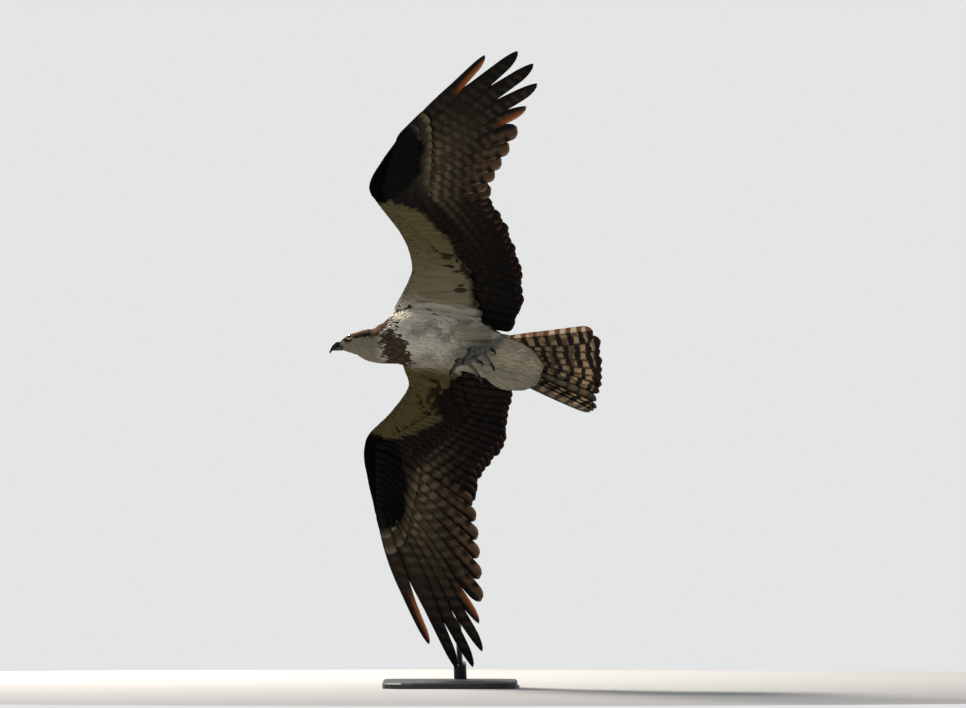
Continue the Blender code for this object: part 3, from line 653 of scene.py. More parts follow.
@dataclass
class Vanes:
    """Many vanes of one template, given row by row in the bird's frame."""

    centre: Array
    cross: Array
    up: Array
    lead: Array
    trail: Array
    thick: Array
    plume: Array
    unwrap: Array
    patch: Array
    traits: Array | None = None
    camber: float = 0.0
    upper: Array | None = None

    def part(self, keep: Array) -> "Vanes":
        """The vanes that a mask or slice picks out."""
        return Vanes(*(None if value is None else value if np.isscalar(value) else value[keep]
                       for value in self.__dict__.values()))

    def corners(self, template: VaneTemplate) -> tuple[Array, Array, Array, Array]:
        """Points and maps of every vane.

        Args:
            template: grid that every vane follows.

        Returns:
            Points in the bird's frame, the vane map, the map in metres and the bake map, one row a vane.
        """
        across, row, layer, _ = template.arrays()
        side = np.where(across > 0, self.lead[:, row] * across, self.trail[:, row] * across)
        bulge = self.thick[:, row] * (0.5 * layer) * (1.0 - 0.55 * across ** 2)
        rise = bulge + self.camber * (1.0 - across ** 2) * (self.lead + self.trail)[:, row] * 0.5
        points = (self.centre[:, row] + self.cross[:, row] * side[..., None]
                  + self.up[:, row] * rise[..., None])
        steps = np.linalg.norm(np.diff(self.centre, axis=1), axis=2)
        from_tip = np.zeros(self.centre.shape[:2])
        from_tip[:, :-1] = np.cumsum(steps[:, ::-1], axis=1)[:, ::-1]
        share = row / (template.rows - 1)
        vane = np.stack([np.broadcast_to(0.5 + 0.5 * across, side.shape),
                         np.broadcast_to(share, side.shape)], axis=-1)
        metres = np.stack([side * MM, from_tip[:, row] * MM], axis=-1)
        bake = self.unwrap[:, None, :] + (vane - 0.5) * self.patch[:, None, :]
        return points, vane, metres, bake

    def mesh(self, name: str, template: VaneTemplate, tint: Tint | None = None) -> bpy.types.Mesh:
        """Join every vane in one mesh with its maps and tints.

        Args:
            name: name of the mesh.
            template: grid that every vane follows.
            tint: markings that multiply the vanes' own colours at each point, if any.

        Returns:
            The joined mesh in world metres.
        """
        points, vane, metres, bake = self.corners(template)
        _, row, layer, quads = template.arrays()
        count, each = points.shape[:2]
        faces = (quads[None] + (np.arange(count) * each)[:, None, None]).reshape(-1, 4)
        mesh = array_mesh(name, POSE.to_world(points.reshape(-1, 3)), faces)
        # The rim is shaded flat, so that both faces keep the vane's own curve up to the edge.
        rim = np.abs(layer[quads].sum(axis=1)) < 4
        mesh.polygons.foreach_set("use_smooth", np.tile(~rim, count))
        for label, values in (("Vane", vane), ("Metres", metres), ("OFBake", bake)):
            uv = mesh.uv_layers.new(name=label)
            uv.data.foreach_set("uv", values.reshape(-1, 2)[faces.ravel()].ravel().astype(np.float32))
        plume = self.plume[:, row]
        if tint is not None:
            plume = plume * tint(points)
        top = (layer > 0.0)[None, :, None]
        if self.upper is not None:
            plume = np.where(top, self.upper, plume)
        set_tint(mesh, "Plume", plume.reshape(-1, 3))
        if self.traits is not None:
            length = np.broadcast_to(metres[:, row == 0, 1].max(axis=1)[:, None, None], (count, each, 1))
            traits = self.traits[:, row]
            # Upper faces get weaker bars, weaker painted backlight and weaker painted glow.
            if self.upper is not None:
                traits = np.where(top, traits * (0.3, 0.4, 0.15), traits)
            traits = np.concatenate([traits, length], axis=2)
            set_tint(mesh, "Traits", traits.reshape(-1, 4))
        return mesh


def place_vanes(name: str, vanes: Vanes, template: VaneTemplate, material: bpy.types.Material,
                slot: str) -> None:
    """Put many small vanes in the scene as pieces that stay light.

    Args:
        name: name of the first piece; further ones are numbered.
        vanes: the vanes.
        template: grid that every vane follows.
        material: their finish.
        slot: material slot of the record that they take their finish from.
    """
    for part, start in enumerate(range(0, len(vanes.centre), VANES_A_PIECE)):
        title = name if part == 0 else f"{name}_{part + 1}"
        group = vanes.part(slice(start, start + VANES_A_PIECE))
        place_piece(title, group.mesh(title, template), material, slot)


def set_tint(mesh: bpy.types.Mesh, name: str, values: Array) -> None:
    """Store one colour a vertex on a mesh.

    Args:
        mesh: mesh that takes the attribute.
        name: name of the attribute.
        values: rows of three or four numbers.
    """
    attribute = mesh.attributes.new(name, "FLOAT_COLOR", "POINT")
    full = np.ones((len(values), 4), np.float32)
    full[:, :values.shape[1]] = values
    attribute.data.foreach_set("color", full.ravel())


def array_mesh(name: str, points: Array, faces: Array) -> bpy.types.Mesh:
    """Mesh from arrays of points and quads.

    Args:
        name: name of the mesh.
        points: places of the vertices in metres.
        faces: four vertex numbers a face.

    Returns:
        The new mesh, shaded smooth.
    """
    mesh = bpy.data.meshes.new(name)
    mesh.vertices.add(len(points))
    mesh.vertices.foreach_set("co", points.astype(np.float32).ravel())
    mesh.loops.add(faces.size)
    mesh.loops.foreach_set("vertex_index", faces.astype(np.int32).ravel())
    mesh.polygons.add(len(faces))
    mesh.polygons.foreach_set("loop_start", np.arange(0, faces.size, 4, dtype=np.int32))
    mesh.update(calc_edges=True)
    mesh.shade_smooth()
    return mesh


def new_object(name: str, data: bpy.types.ID) -> bpy.types.Object:
    """Put a mesh, camera or lamp in the scene.

    Args:
        name: name of the object.
        data: what it shows.

    Returns:
        The object.
    """
    thing = bpy.data.objects.new(name, data)
    bpy.context.scene.collection.objects.link(thing)
    return thing


def place_piece(name: str, mesh: bpy.types.Mesh, material: bpy.types.Material, slot: str,
                *stands_for: str) -> bpy.types.Object:
    """Put a finished mesh in the scene as a piece of the bird.

    Args:
        name: name of the piece.
        mesh: its mesh in world metres.
        material: its finish.
        slot: not used.
        stands_for: CAD nodes that it replaces.

    Returns:
        The piece's object.
    """
    piece = new_object(name, mesh)
    mesh.materials.append(material)
    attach(piece, ROOT_BODY)
    if stands_for:
        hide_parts(*stands_for)
    LOG.info("%s: %d faces", name, len(mesh.polygons))
    return piece


@dataclass(frozen=True)
class Quill:
    """One wing feather in plan: where it starts, where it points and how wide each web is."""

    root: tuple[float, float]
    heading: tuple[float, float]
    length: float
    lead: float
    trail: float
    level: float
    tilt: float
    bow: float
    finger: bool
    traits: tuple[float, float, float]


def smooth_rows(rows: tuple[Row, ...], spans: int) -> Array:
    """Rows on a Catmull-Rom curve through control rows.

    Args:
        rows: control rows.
        spans: steps between two control rows.

    Returns:
        The rows of the smooth curve.
    """
    points = np.array([rows[0], *rows, rows[-1]], float)
    result = []
    for before, start, end, after in zip(points, points[1:], points[2:], points[3:]):
        for t in np.arange(spans) / spans:
            result.append(0.5 * (2 * start + (end - before) * t + (2 * before - 5 * start + 4 * end - after)
                                 * t * t + (3 * start - before - 3 * end + after) * t ** 3))
    result.append(points[-1])
    return np.array(result)


@dataclass(frozen=True)
class WingPlan:
    """Plan and rise of one spread wing, in millimetres back and out from the shoulder line."""

    name: str
    side: Side
    wrist: tuple[float, float]
    elbow: tuple[float, float]
    hand_sweep: float
    chord_fall: float
    span_fall: float
    fan_outer: float
    fan_inner: float
    fan_ease: float
    finger_turn: float
    finger_bow: float
    leading_bow: float
    inner_reach: float
    last_lead: float
    lead: tuple[Row, ...]
    trail: tuple[Row, ...]
    lining_rear: tuple[Row, ...]
    carpal_rear: tuple[Row, ...]
    # Colours of the white lining near the body and out towards the wrist, darkened with painted shade, more
    # so on the right wing.
    lining: tuple[str, str]
    shoulder: tuple[float, float] = (-60.0, 52.0)
    hand_length: float = 122.0
    hand_start: float = 8.0
    palm_depth: float = 12.0
    behind_bone: float = 17.0
    spine_start: tuple[float, float, float] = (-75.0, 40.0, 24.0)
    wrist_up: float = 77.0
    arm_fall: float = 0.2
    fall_range: tuple[float, float] = (150.0, 330.0)
    fall_softness: float = 0.14
    primary_lengths: tuple[float, ...] = (246.0, 261.0, 277.0, 298.0, 323.0, 349.0, 389.0, 397.0, 375.0,
                                          299.0)
    first_finger: int = 5
    # Primaries whose inner webs get a painted glow, with its strength.
    lit_webs: tuple[tuple[int, float], ...] = ((5, 0.7), (9, 1.0))
    arm_webs: tuple[float, float] = (14.0, 25.0)
    hand_webs: tuple[float, float] = (13.0, 26.0)
    leading_web: float = 20.0
    arm_tilt: float = 0.1
    hand_tilt: float = 0.06
    bar_strength: tuple[float, ...] = (0.5, 0.56, 0.6, 0.6, 0.56, 0.48, 0.36, 0.28, 0.2, 0.14)
    secondaries: int = 14
    tertials: int = 6
    tertial_start: float = 64.0
    secondary_step: float = 0.85
    stack_start: float = 12.0
    primary_step: float = 1.0
    hand_drop: float = 1.2
    thickness: tuple[Row, ...] = ((30, 30), (24, 80), (17, 150), (15, 200), (15, 281), (13, 410))

    def hand_tip(self) -> tuple[float, float]:
        """Plan place of the hand's far end.

        Returns:
            Distances back and out.
        """
        sweep = math.radians(self.hand_sweep)
        return (self.wrist[0] + self.hand_length * math.sin(sweep),
                self.wrist[1] + self.hand_length * math.cos(sweep))

    def height(self, back: Array, out: Array) -> Array:
        """Height of the wing's middle surface over places in plan.

        Args:
            back: distances back.
            out: distances out.

        Returns:
            Heights.
        """
        back, out = np.asarray(back, float), np.asarray(out, float)
        low, high = self.fall_range
        share, soft = (out - low) / (high - low), self.fall_softness
        rounded = (share + soft) ** 2 / (4.0 * soft)
        share = np.minimum(np.where(np.abs(share) < soft, rounded, np.maximum(share, 0.0)), 1.0)
        fall = self.arm_fall + (self.chord_fall - self.arm_fall) * share
        t = (out - self.spine_start[1]) / (self.wrist[1] - self.spine_start[1])
        inside = out < self.wrist[1]
        spine_back = np.where(inside, self.spine_start[0] + (self.wrist[0] - self.spine_start[0]) * t,
                              self.wrist[0])
        spine_up = np.where(inside, self.spine_start[2] + (self.wrist_up - self.spine_start[2]) * t,
                            self.wrist_up - self.span_fall * (out - self.wrist[1]))
        return spine_up - fall * (back - spine_back)

    def stack(self, out: Array) -> Array:
        """How far the core and the feather roots sink to follow the stepped feathers.

        Args:
            out: distances out.

        Returns:
            Heights to add, below zero.
        """
        start = self.elbow[1] - self.stack_start
        arm = np.clip((out - start) / (self.wrist[1] - start), 0.0, 1.0)
        hand = np.clip((out - self.wrist[1]) / (self.hand_tip()[1] - self.wrist[1]), 0.0, 1.0)
        return (-self.secondary_step * self.secondaries * arm
                - self.primary_step * len(self.primary_lengths) * hand)

    def bone(self, out: Array) -> Array:
        """Place back of the arm's bones at distances out."""
        joints = (self.shoulder, self.elbow, self.wrist, self.hand_tip())
        return read_rows(joints, out)

    def front(self, out: Array) -> Array:
        """Place back of the leading edge at distances out."""
        return read_rows(smooth_rows(self.lead, 6), out)

    def rear(self, out: Array) -> Array:
        """Place back of the rear of the wing's fleshy core at distances out."""
        return self.bone(out) + self.behind_bone

    def spot(self, back: Array, out: Array, up: Array) -> Array:
        """Points in the bird's frame of places in plan with their heights."""
        return np.stack(np.broadcast_arrays(back, self.side.value * np.asarray(out), up), axis=-1)

    def face(self, back: Array, out: Array, above: float) -> Array:
        """Height of the coat's ground on the upper or lower face of the wing.

        Args:
            back: distances back.
            out: distances out.
            above: 1 for the upper face, -1 for the lower one.

        Returns:
            Heights of the core's face, which closes in on the flight feathers behind the core.
        """
        front, rear = self.front(out), self.rear(out)
        share = (back - front) / np.maximum(rear - front, 1.0)
        half = read_rows(self.thickness, out) * 0.5 - 1.5
        profile = np.interp(share, (0.0, 0.06, 0.25, 0.65, 1.0, 1.6, 2.4),
                            (0.0, 0.7, 1.0, 0.96, 0.72, 0.5, 0.36))
        return self.height(back, out) + self.stack(out) + above * half * profile

    def heading(self, out: Array) -> Array:
        """Angle out from straight back at which the coverts lie, in radians."""
        return np.radians(np.interp(out, (40.0, 200.0, 281.0, 330.0, 400.0, 440.0),
                                    (3.0, 13.0, 24.0, 36.0, 90.0 - self.fan_outer, 90.0 - self.fan_outer)))

    def quills(self) -> list[Quill]:
        """Flight feathers from the body to the wing's tip.

        Returns:
            Tertials and secondaries, then the ten primaries.
        """
        trail = smooth_rows(self.trail, 6)[::-1]
        travel = np.concatenate([[0.0], np.cumsum(np.linalg.norm(np.diff(trail, axis=0), axis=1))])
        count = self.tertials + self.secondaries
        quills = []
        for number in range(count):
            if number < self.tertials:
                out = self.tertial_start + (self.elbow[1] - self.tertial_start) * number / self.tertials
                root = (float(self.bone(out)), out)
            else:
                share = (number - self.tertials) / (self.secondaries - 1)
                out = self.elbow[1] + (self.wrist[1] - self.hand_start - self.elbow[1]) * share
                root = (float(self.bone(out)) + 4.0, out)
            along = travel[-1] * number / (count - 1)
            tip = (np.interp(along, travel, trail[:, 0]), np.interp(along, travel, trail[:, 1]))
            reach = (tip[0] - root[0], tip[1] - root[1])
            length = math.hypot(*reach)
            heading = (reach[0] / length, reach[1] / length)
            from_hand = count - 1 - number
            # The traits are the strength of the bars, of the painted backlight on rims and tips, and of the
            # painted glow.
            traits = (0.42 * 0.66 ** from_hand + 0.03, 0.7 if number >= self.tertials else 0.5, 0.0)
            quills.append(Quill(root, heading, length + rng.uniform(-3.0, 3.0), *self.arm_webs,
                                float(self.stack(out)), self.arm_tilt, 0.0, False, traits))
        sweep = math.radians(self.hand_sweep)
        last = len(self.primary_lengths) - 1
        base_level = float(self.stack(self.wrist[1])) - self.hand_drop
        glows = dict(self.lit_webs)
        for number, length in enumerate(self.primary_lengths):
            t = number / last
            reach = self.hand_start + (self.hand_length - self.hand_start) * t
            root = (self.wrist[0] + reach * math.sin(sweep) + self.palm_depth * (1.0 - t),
                    self.wrist[1] + reach * math.cos(sweep))
            fan = math.radians(self.fan_inner + (self.fan_outer - self.fan_inner) * t ** self.fan_ease)
            finger = number >= self.first_finger
            bow = 5.0 * t
            if not finger:
                length *= self.inner_reach
            elif number == last:
                bow = self.leading_bow
            elif number > self.first_finger:
                fan += math.radians(self.finger_turn)
                bow = self.finger_bow
            heading = (math.sin(fan), math.cos(fan))
            end = (root[0] + heading[0] * length, root[1] + heading[1] * length)
            drop = float(self.height(*root) - self.height(*end))
            length = length / math.hypot(1.0, drop / length)
            widths = (self.last_lead, self.leading_web) if number == last else self.hand_webs
            # The painted backlight on rims and tips is strong on the inner primaries and weak on the fingers.
            rim = 1.0 if number <= self.first_finger else 0.2
            traits = (self.bar_strength[number], rim, glows.get(number, 0.0))
            level = base_level - self.primary_step * (number + 1)
            quills.append(Quill(root, heading, length, *widths, level, self.hand_tilt, bow, finger, traits))
        return quills

    def under_points(self, points: Array) -> Array:
        """Markings of the under side at points of each vane, with a border that wanders from vane to vane."""
        wander = rng.normal(0.0, 2.5, (len(points), 1))
        return self.under_tint(points[..., 0], self.side.value * points[..., 1], wander)

    def under_tint(self, back: Array, out: Array, wander: Array) -> Array:
        """Markings of the under side of the wing.

        Args:
            back: distances back.
            out: distances out.
            wander: a shift in millimetres for each place that makes borders ragged.

        Returns:
            Linear colours.
        """
        back, out = back + wander, out + 0.6 * wander
        hand = ease(out, 285.0, 345.0) * ease(back, -100.0, -60.0)
        # The lining's colours carry painted shade, darker towards the wrist.
        lining = layered(self.lining[0], (self.lining[1], ease(out, 60.0, 230.0)))
        lining = layered("#cfc8b4", (lining, ease(out, 44.0, 86.0)))
        start = self.carpal_rear[0][1]
        carpal = ahead_of(back, out, self.carpal_rear, 3.0) * ease(out, start - 5.0, start + 5.0)
        return layered("#191511", ("#3d3426", hand), (lining, ahead_of(back, out, self.lining_rear, 4.0)),
                       ("#030203", carpal))


def ahead_of(back: Array, out: Array, rows: tuple[Row, ...], soft: float) -> Array:
    """Share of a marking that lies ahead of a line across the wing.

    Args:
        back: distances back.
        out: distances out.
        rows: back and out of the line's points, by distance out.
        soft: width of the soft border.

    Returns:
        One ahead of the line, zero behind it.
    """
    return ease(read_rows(rows, out) - back, -soft, soft)


def layered(base: Array | str, *coats: tuple) -> Array:
    """Colours painted over a base, coat by coat.

    Args:
        base: hex code, colour or colours.
        *coats: hex code, colour or colours of each coat, with its share at each place.

    Returns:
        Linear colours.
    """
    tint = rgb(base) if isinstance(base, str) else base
    for colour, share in coats:
        colour = rgb(colour) if isinstance(colour, str) else colour
        tint = tint + (colour - tint) * np.asarray(share)[..., None]
    return tint


# Each wing's last pair of colours is its lining with painted shade; the right wing's lining is painted deeper
# in shade.
WINGS = (
    WingPlan("wing_left", Side.LEFT, (-158, 281), (-14, 180), 17.0, 0.424, 0.043, 33.0, 69.3, 1.25, 0.5,
             0.0, 1.0, 0.98, 8.5,
             ((-101, 30), (-74, 100), (-70, 140), (-95, 195), (-146, 250), (-168, 277), (-165, 307),
              (-150, 345), (-125, 405)),
             ((70, 351), (71, 328), (107, 275), (122, 240), (143, 187), (152, 143), (157, 98), (146, 58)),
             ((94, 51), (68, 75), (49, 129), (16, 175), (-1, 206), (-23, 224), (-65, 258), (-146, 266),
              (-400, 270)),
             ((-145, 252), (-113, 279), (-71, 344), (-69, 371), (-69, 416), (-104, 440), (-400, 442)),
             ("#867c60", "#61593a")),
    WingPlan("wing_right", Side.RIGHT, (-121, 281), (10, 168), 14.0, 0.456, 0.017, 25.8, 68.3, 0.95, 0.9,
             0.0, 11.0, 1.01, 11.5,
             ((-92, 30), (-64, 90), (-54, 132), (-84, 195), (-122, 252), (-130, 284), (-128, 312),
              (-117, 350), (-98, 415)),
             ((98, 345), (102, 300), (112, 275), (126, 248), (149, 212), (148, 170), (154, 110), (144, 58)),
             ((62, 51), (23, 108), (2, 142), (20, 186), (-24, 221), (-64, 244), (-115, 262), (-400, 269)),
             ((-68, 249), (-38, 331), (-33, 380), (-51, 430), (-82, 446), (-400, 448)),
             ("#584e31", "#554c30")))


def to_mesh(bm: bmesh.types.BMesh, name: str) -> bpy.types.Mesh:
    """Turn an edit mesh into a mesh and free it.

    Args:
        bm: the edit mesh.
        name: name of the mesh.

    Returns:
        The mesh.
    """
    mesh = bpy.data.meshes.new(name)
    bm.to_mesh(mesh)
    bm.free()
    return mesh


def place_solid(name: str, mesh: bpy.types.Mesh, matrix: Matrix, material: bpy.types.Material, slot: str,
                *stands_for: str) -> None:
    """Put a bare solid of the bird in the scene.

    Args:
        name: name of the piece.
        mesh: its mesh in millimetres.
        matrix: frame of the mesh in the bird's frame.
        material: its finish.
        slot: material slot of the record that it takes its finish from.
        stands_for: CAD nodes that it replaces.
    """
    mesh.transform(Matrix.Scale(MM, 4) @ POSE.matrix() @ matrix)
    mesh.shade_smooth()
    place_piece(name, mesh, material, slot, *stands_for)


class Loft:
    """Closed solid swept through oval stations by repeated extrusion."""

    def __init__(self, segments: int = 24) -> None:
        """Start an empty set of solids.

        Args:
            segments: points around each oval.
        """
        self.bm = bmesh.new()
        self.segments = segments

    def sweep(self, frames: list[Matrix]) -> None:
        """Add one solid through a row of frames.

        Args:
            frames: place and size of a unit circle, one for each ring.
        """
        made = bmesh.ops.create_circle(self.bm, cap_ends=True, segments=self.segments, radius=1.0,
                                       matrix=frames[0])
        cap = made["verts"][0].link_faces[0]
        for before, after in zip(frames, frames[1:]):
            grown = bmesh.ops.extrude_face_region(self.bm, geom=[cap])["geom"]
            cap = next(part for part in grown if isinstance(part, bmesh.types.BMFace))
            bmesh.ops.transform(self.bm, matrix=after @ before.inverted(), verts=cap.verts)

    def ovals(self, stations: Array, matrix: Matrix, side_axis: Vector = Vector((0.0, 1.0, 0.0))) -> None:
        """Add one solid whose ovals stand square to the line through their centres.

        Args:
            stations: rows of x, y, z, half width and half depth.
            matrix: frame that the stations are given in.
            side_axis: direction of the ovals' width.
        """
        centres = [Vector(row[:3]) for row in stations]
        frames = []
        for number, row in enumerate(stations):
            along = centres[min(number + 1, len(centres) - 1)] - centres[max(number - 1, 0)]
            along.normalize()
            other = side_axis.cross(along).normalized()
            across = along.cross(other).normalized()
            frames.append(matrix @ column_matrix(across * row[3], other * row[4], along, centres[number]))
        self.sweep(frames)

    def mesh(self, name: str) -> bpy.types.Mesh:
        """All solids as one mesh, with faces outwards.

        Args:
            name: name of the mesh.

        Returns:
            The mesh.
        """
        bmesh.ops.recalc_face_normals(self.bm, faces=self.bm.faces)
        return to_mesh(self.bm, name)


def column_matrix(first: Vector, second: Vector, third: Vector, place: Vector) -> Matrix:
    """Matrix with three axes as its columns and a place."""
    rows = [[first[i], second[i], third[i], place[i]] for i in range(3)]
    return Matrix((*rows, (0.0, 0.0, 0.0, 1.0)))


def evaluated(piece: bpy.types.Object) -> bpy.types.Mesh:
    """Mesh of an object with its modifiers applied."""
    graph = bpy.context.evaluated_depsgraph_get()
    return bpy.data.meshes.new_from_object(piece.evaluated_get(graph))


TRUNK = ((-114, 7, -19, 12, 12), (-109, 7, -19, 34, 34), (-98, 6, -17, 45, 46), (-78, 4, -13, 55, 55),
         (-48, 1, -7, 62, 60), (-10, 0, -2, 62, 60), (30, 1, -4, 59, 55), (65, 4, -14, 56, 47),
         (95, 10, -28, 54, 38), (112, 15, -38, 50, 32), (122, 17, -42, 38, 24), (127, 18, -44, 16, 10))
NECK = ((-156, 19, -31, 24, 24), (-138, 19, -30, 32, 32), (-120, 17, -27, 38, 38), (-104, 13, -23, 43, 43),
        (-88, 9, -18, 47, 47))
SKULL = ((-25, 0, 1.0, 4, 5), (-22, 0, 1.0, 8.5, 9), (-12, 0, 1.5, 14.5, 14.5), (-2, 0, 2.0, 19.5, 19),
         (10, 0, 1.5, 24, 23), (22, 0, 0.0, 27, 26), (34, 0, -1.0, 29, 28), (44, 0, -1.0, 26, 25),
         (50, 0, -1.0, 14, 14))
TAIL_CORE = ((96, 7, -32, 42, 24), (116, 11, -44, 56, 30), (140, 16, -55, 59, 25), (165, 20, -62, 53, 19),
             (190, 23, -69, 40, 13), (207, 26, -73, 19, 7))
THIGHS = (((28, -40, -44, 22, 22), (75, -42, -56, 18, 18), (122, -42, -64, 7.5, 7.5)),
          ((16, 20, -46, 21, 21), (58, 2, -60, 17, 17), (96, -16, -68, 7.5, 7.5)))


@dataclass
class Skin:
    """One hide over all the flesh, lying inside it by the depth of the coat."""

    depth: float = 1.4
    head_depth: float = 0.9
    voxel: float = 2.4
    wing_depth: float = 1.8
    fold: float = 4.2
    levels: int = 8
    tree: BVHTree = field(init=False)
    points: Array = field(init=False)
    faces: list = field(init=False)
    spots: Array = field(init=False)
    mesh: bpy.types.Mesh = field(init=False)

    def thinned(self, rows: tuple[Row, ...], depth: float) -> Array:
        """Smoothed stations, drawn in by the coat's depth.

        Args:
            rows: stations of the solid.
            depth: how far the hide lies inside it.

        Returns:
            Rows of the same columns.
        """
        stations = smooth_rows(rows, 4)
        stations[:, 3:] = np.maximum(stations[:, 3:] - depth, 1.5)
        return stations

    def wing_frames(self, plan: WingPlan) -> list[Matrix]:
        """Ovals of one wing's core from the body to the end of the hand.

        Args:
            plan: the wing.

        Returns:
            One frame for each ring.
        """
        frames = []
        for out in np.linspace(20.0, plan.hand_tip()[1] + 2.0, 30):
            front, rear = float(plan.front(out)) + self.wing_depth, float(plan.rear(out)) - self.wing_depth
            half = float(read_rows(plan.thickness, out)) * 0.5 - self.wing_depth
            level = float(plan.stack(out))
            ends = [Vector(plan.spot(back, out, plan.height(back, out) + level)) for back in (front, rear)]
            chord = (ends[1] - ends[0]) * 0.5
            span = Vector((0.0, plan.side.value, 0.0))
            up = chord.cross(span).normalized() * half
            frames.append(column_matrix(chord * 1.02, up, span, (ends[0] + ends[1]) * 0.5))
        return frames

    def build(self) -> None:
        """Sweep the flesh, merge it in one smooth hide and keep it for the coat."""
        loft = Loft()
        for rows in (TRUNK, NECK, SKULL, TAIL_CORE, *THIGHS):
            depth, matrix = (self.head_depth, HEAD.matrix()) if rows is SKULL else (self.depth, Matrix())
            loft.ovals(self.thinned(rows, depth), matrix)
        for plan in WINGS:
            loft.sweep(self.wing_frames(plan))
        mesh = loft.mesh("hide")
        mesh.transform(POSE.matrix())
        mesh.transform(Matrix.Scale(MM, 4))
        shell = new_object("hide", mesh)
        merge = shell.modifiers.new("merge", "REMESH")
        merge.mode = "VOXEL"
        merge.voxel_size = self.voxel * MM
        soften = shell.modifiers.new("soften", "SMOOTH")
        soften.factor = 0.5
        soften.iterations = self.levels
        final = evaluated(shell)
        final.name = "skin"
        bpy.data.objects.remove(shell)
        self.measure(final)
        self.unwrap(final)

    def measure(self, mesh: bpy.types.Mesh) -> None:
        """Keep the hide's points, normals and faces in the bird's frame.

        Args:
            mesh: the finished hide.
        """
        raw = np.empty(len(mesh.vertices) * 3)
        mesh.vertices.foreach_get("co", raw)
        normals = np.empty(len(mesh.vertices) * 3)
        mesh.vertices.foreach_get("normal", normals)
        inverse = POSE.matrix().inverted()
        points = carry(raw.reshape(-1, 3) / MM, inverse)
        # Plumage lies in soft folds that run along the body.
        folds = np.array([noise.noise(Vector((p[0] / 42.0, p[1] / 15.0, p[2] / 15.0))) for p in points])
        loose = ease(points[:, 0], -150.0, -90.0) * ease(np.abs(points[:, 1]), 90.0, 60.0)
        shift = ((np.abs(folds) - 0.4) * loose * self.fold)[:, None] * normals.reshape(-1, 3)
        mesh.vertices.foreach_set("co", (raw + (shift * MM).ravel()))
        self.points = points + shift @ np.array(POSE.matrix())[:3, :3]
        self.faces = [tuple(face.vertices) for face in mesh.polygons]
        self.tree = BVHTree.FromPolygons([Vector(p) for p in self.points], self.faces)
        self.mesh = mesh

    def unwrap(self, mesh: bpy.types.Mesh) -> None:
        """Unwrap the hide on its own shape and keep each face's place on the map.

        Args:
            mesh: the finished hide.
        """
        holder = new_object("skin", mesh)
        bpy.context.view_layer.objects.active = holder
        holder.select_set(True)
        mesh.uv_layers.new(name="OFBake")
        bpy.ops.object.mode_set(mode="EDIT")
        bpy.ops.mesh.select_all(action="SELECT")
        bpy.ops.uv.smart_project(angle_limit=math.radians(66.0), island_margin=0.002)
        bpy.ops.object.mode_set(mode="OBJECT")
        loops = np.empty(len(mesh.loops) * 2)
        mesh.uv_layers["OFBake"].data.foreach_get("uv", loops)
        loops = loops.reshape(-1, 2)
        starts = np.array([face.loop_start for face in mesh.polygons])
        self.spots = loops[starts]
        bpy.data.objects.remove(holder)

    def nearest(self, points: Array) -> tuple[Array, Array, Array]:
        """Nearest places on the hide.

        Args:
            points: rows of places in the bird's frame.

        Returns:
            Places, outward normals and places on the map.
        """
        found = [self.tree.find_nearest(Vector(point)) for point in points]
        places = np.array([hit[0][:] for hit in found])
        normals = np.array([hit[1][:] for hit in found])
        return places, normals, self.spots[[hit[2] for hit in found]]

    def dress(self, markings: Callable[[Array], Array]) -> None:
        """Tint the hide with the coat's markings and put it in the scene.

        Args:
            markings: function from places to linear colours.
        """
        set_tint(self.mesh, "Plume", markings(self.points))
        self.mesh.shade_smooth()
        place_piece("skin", self.mesh, SkinFinish().material(), "white_feather",
                    "torso", "neck", "head", "thigh_left", "thigh_right")


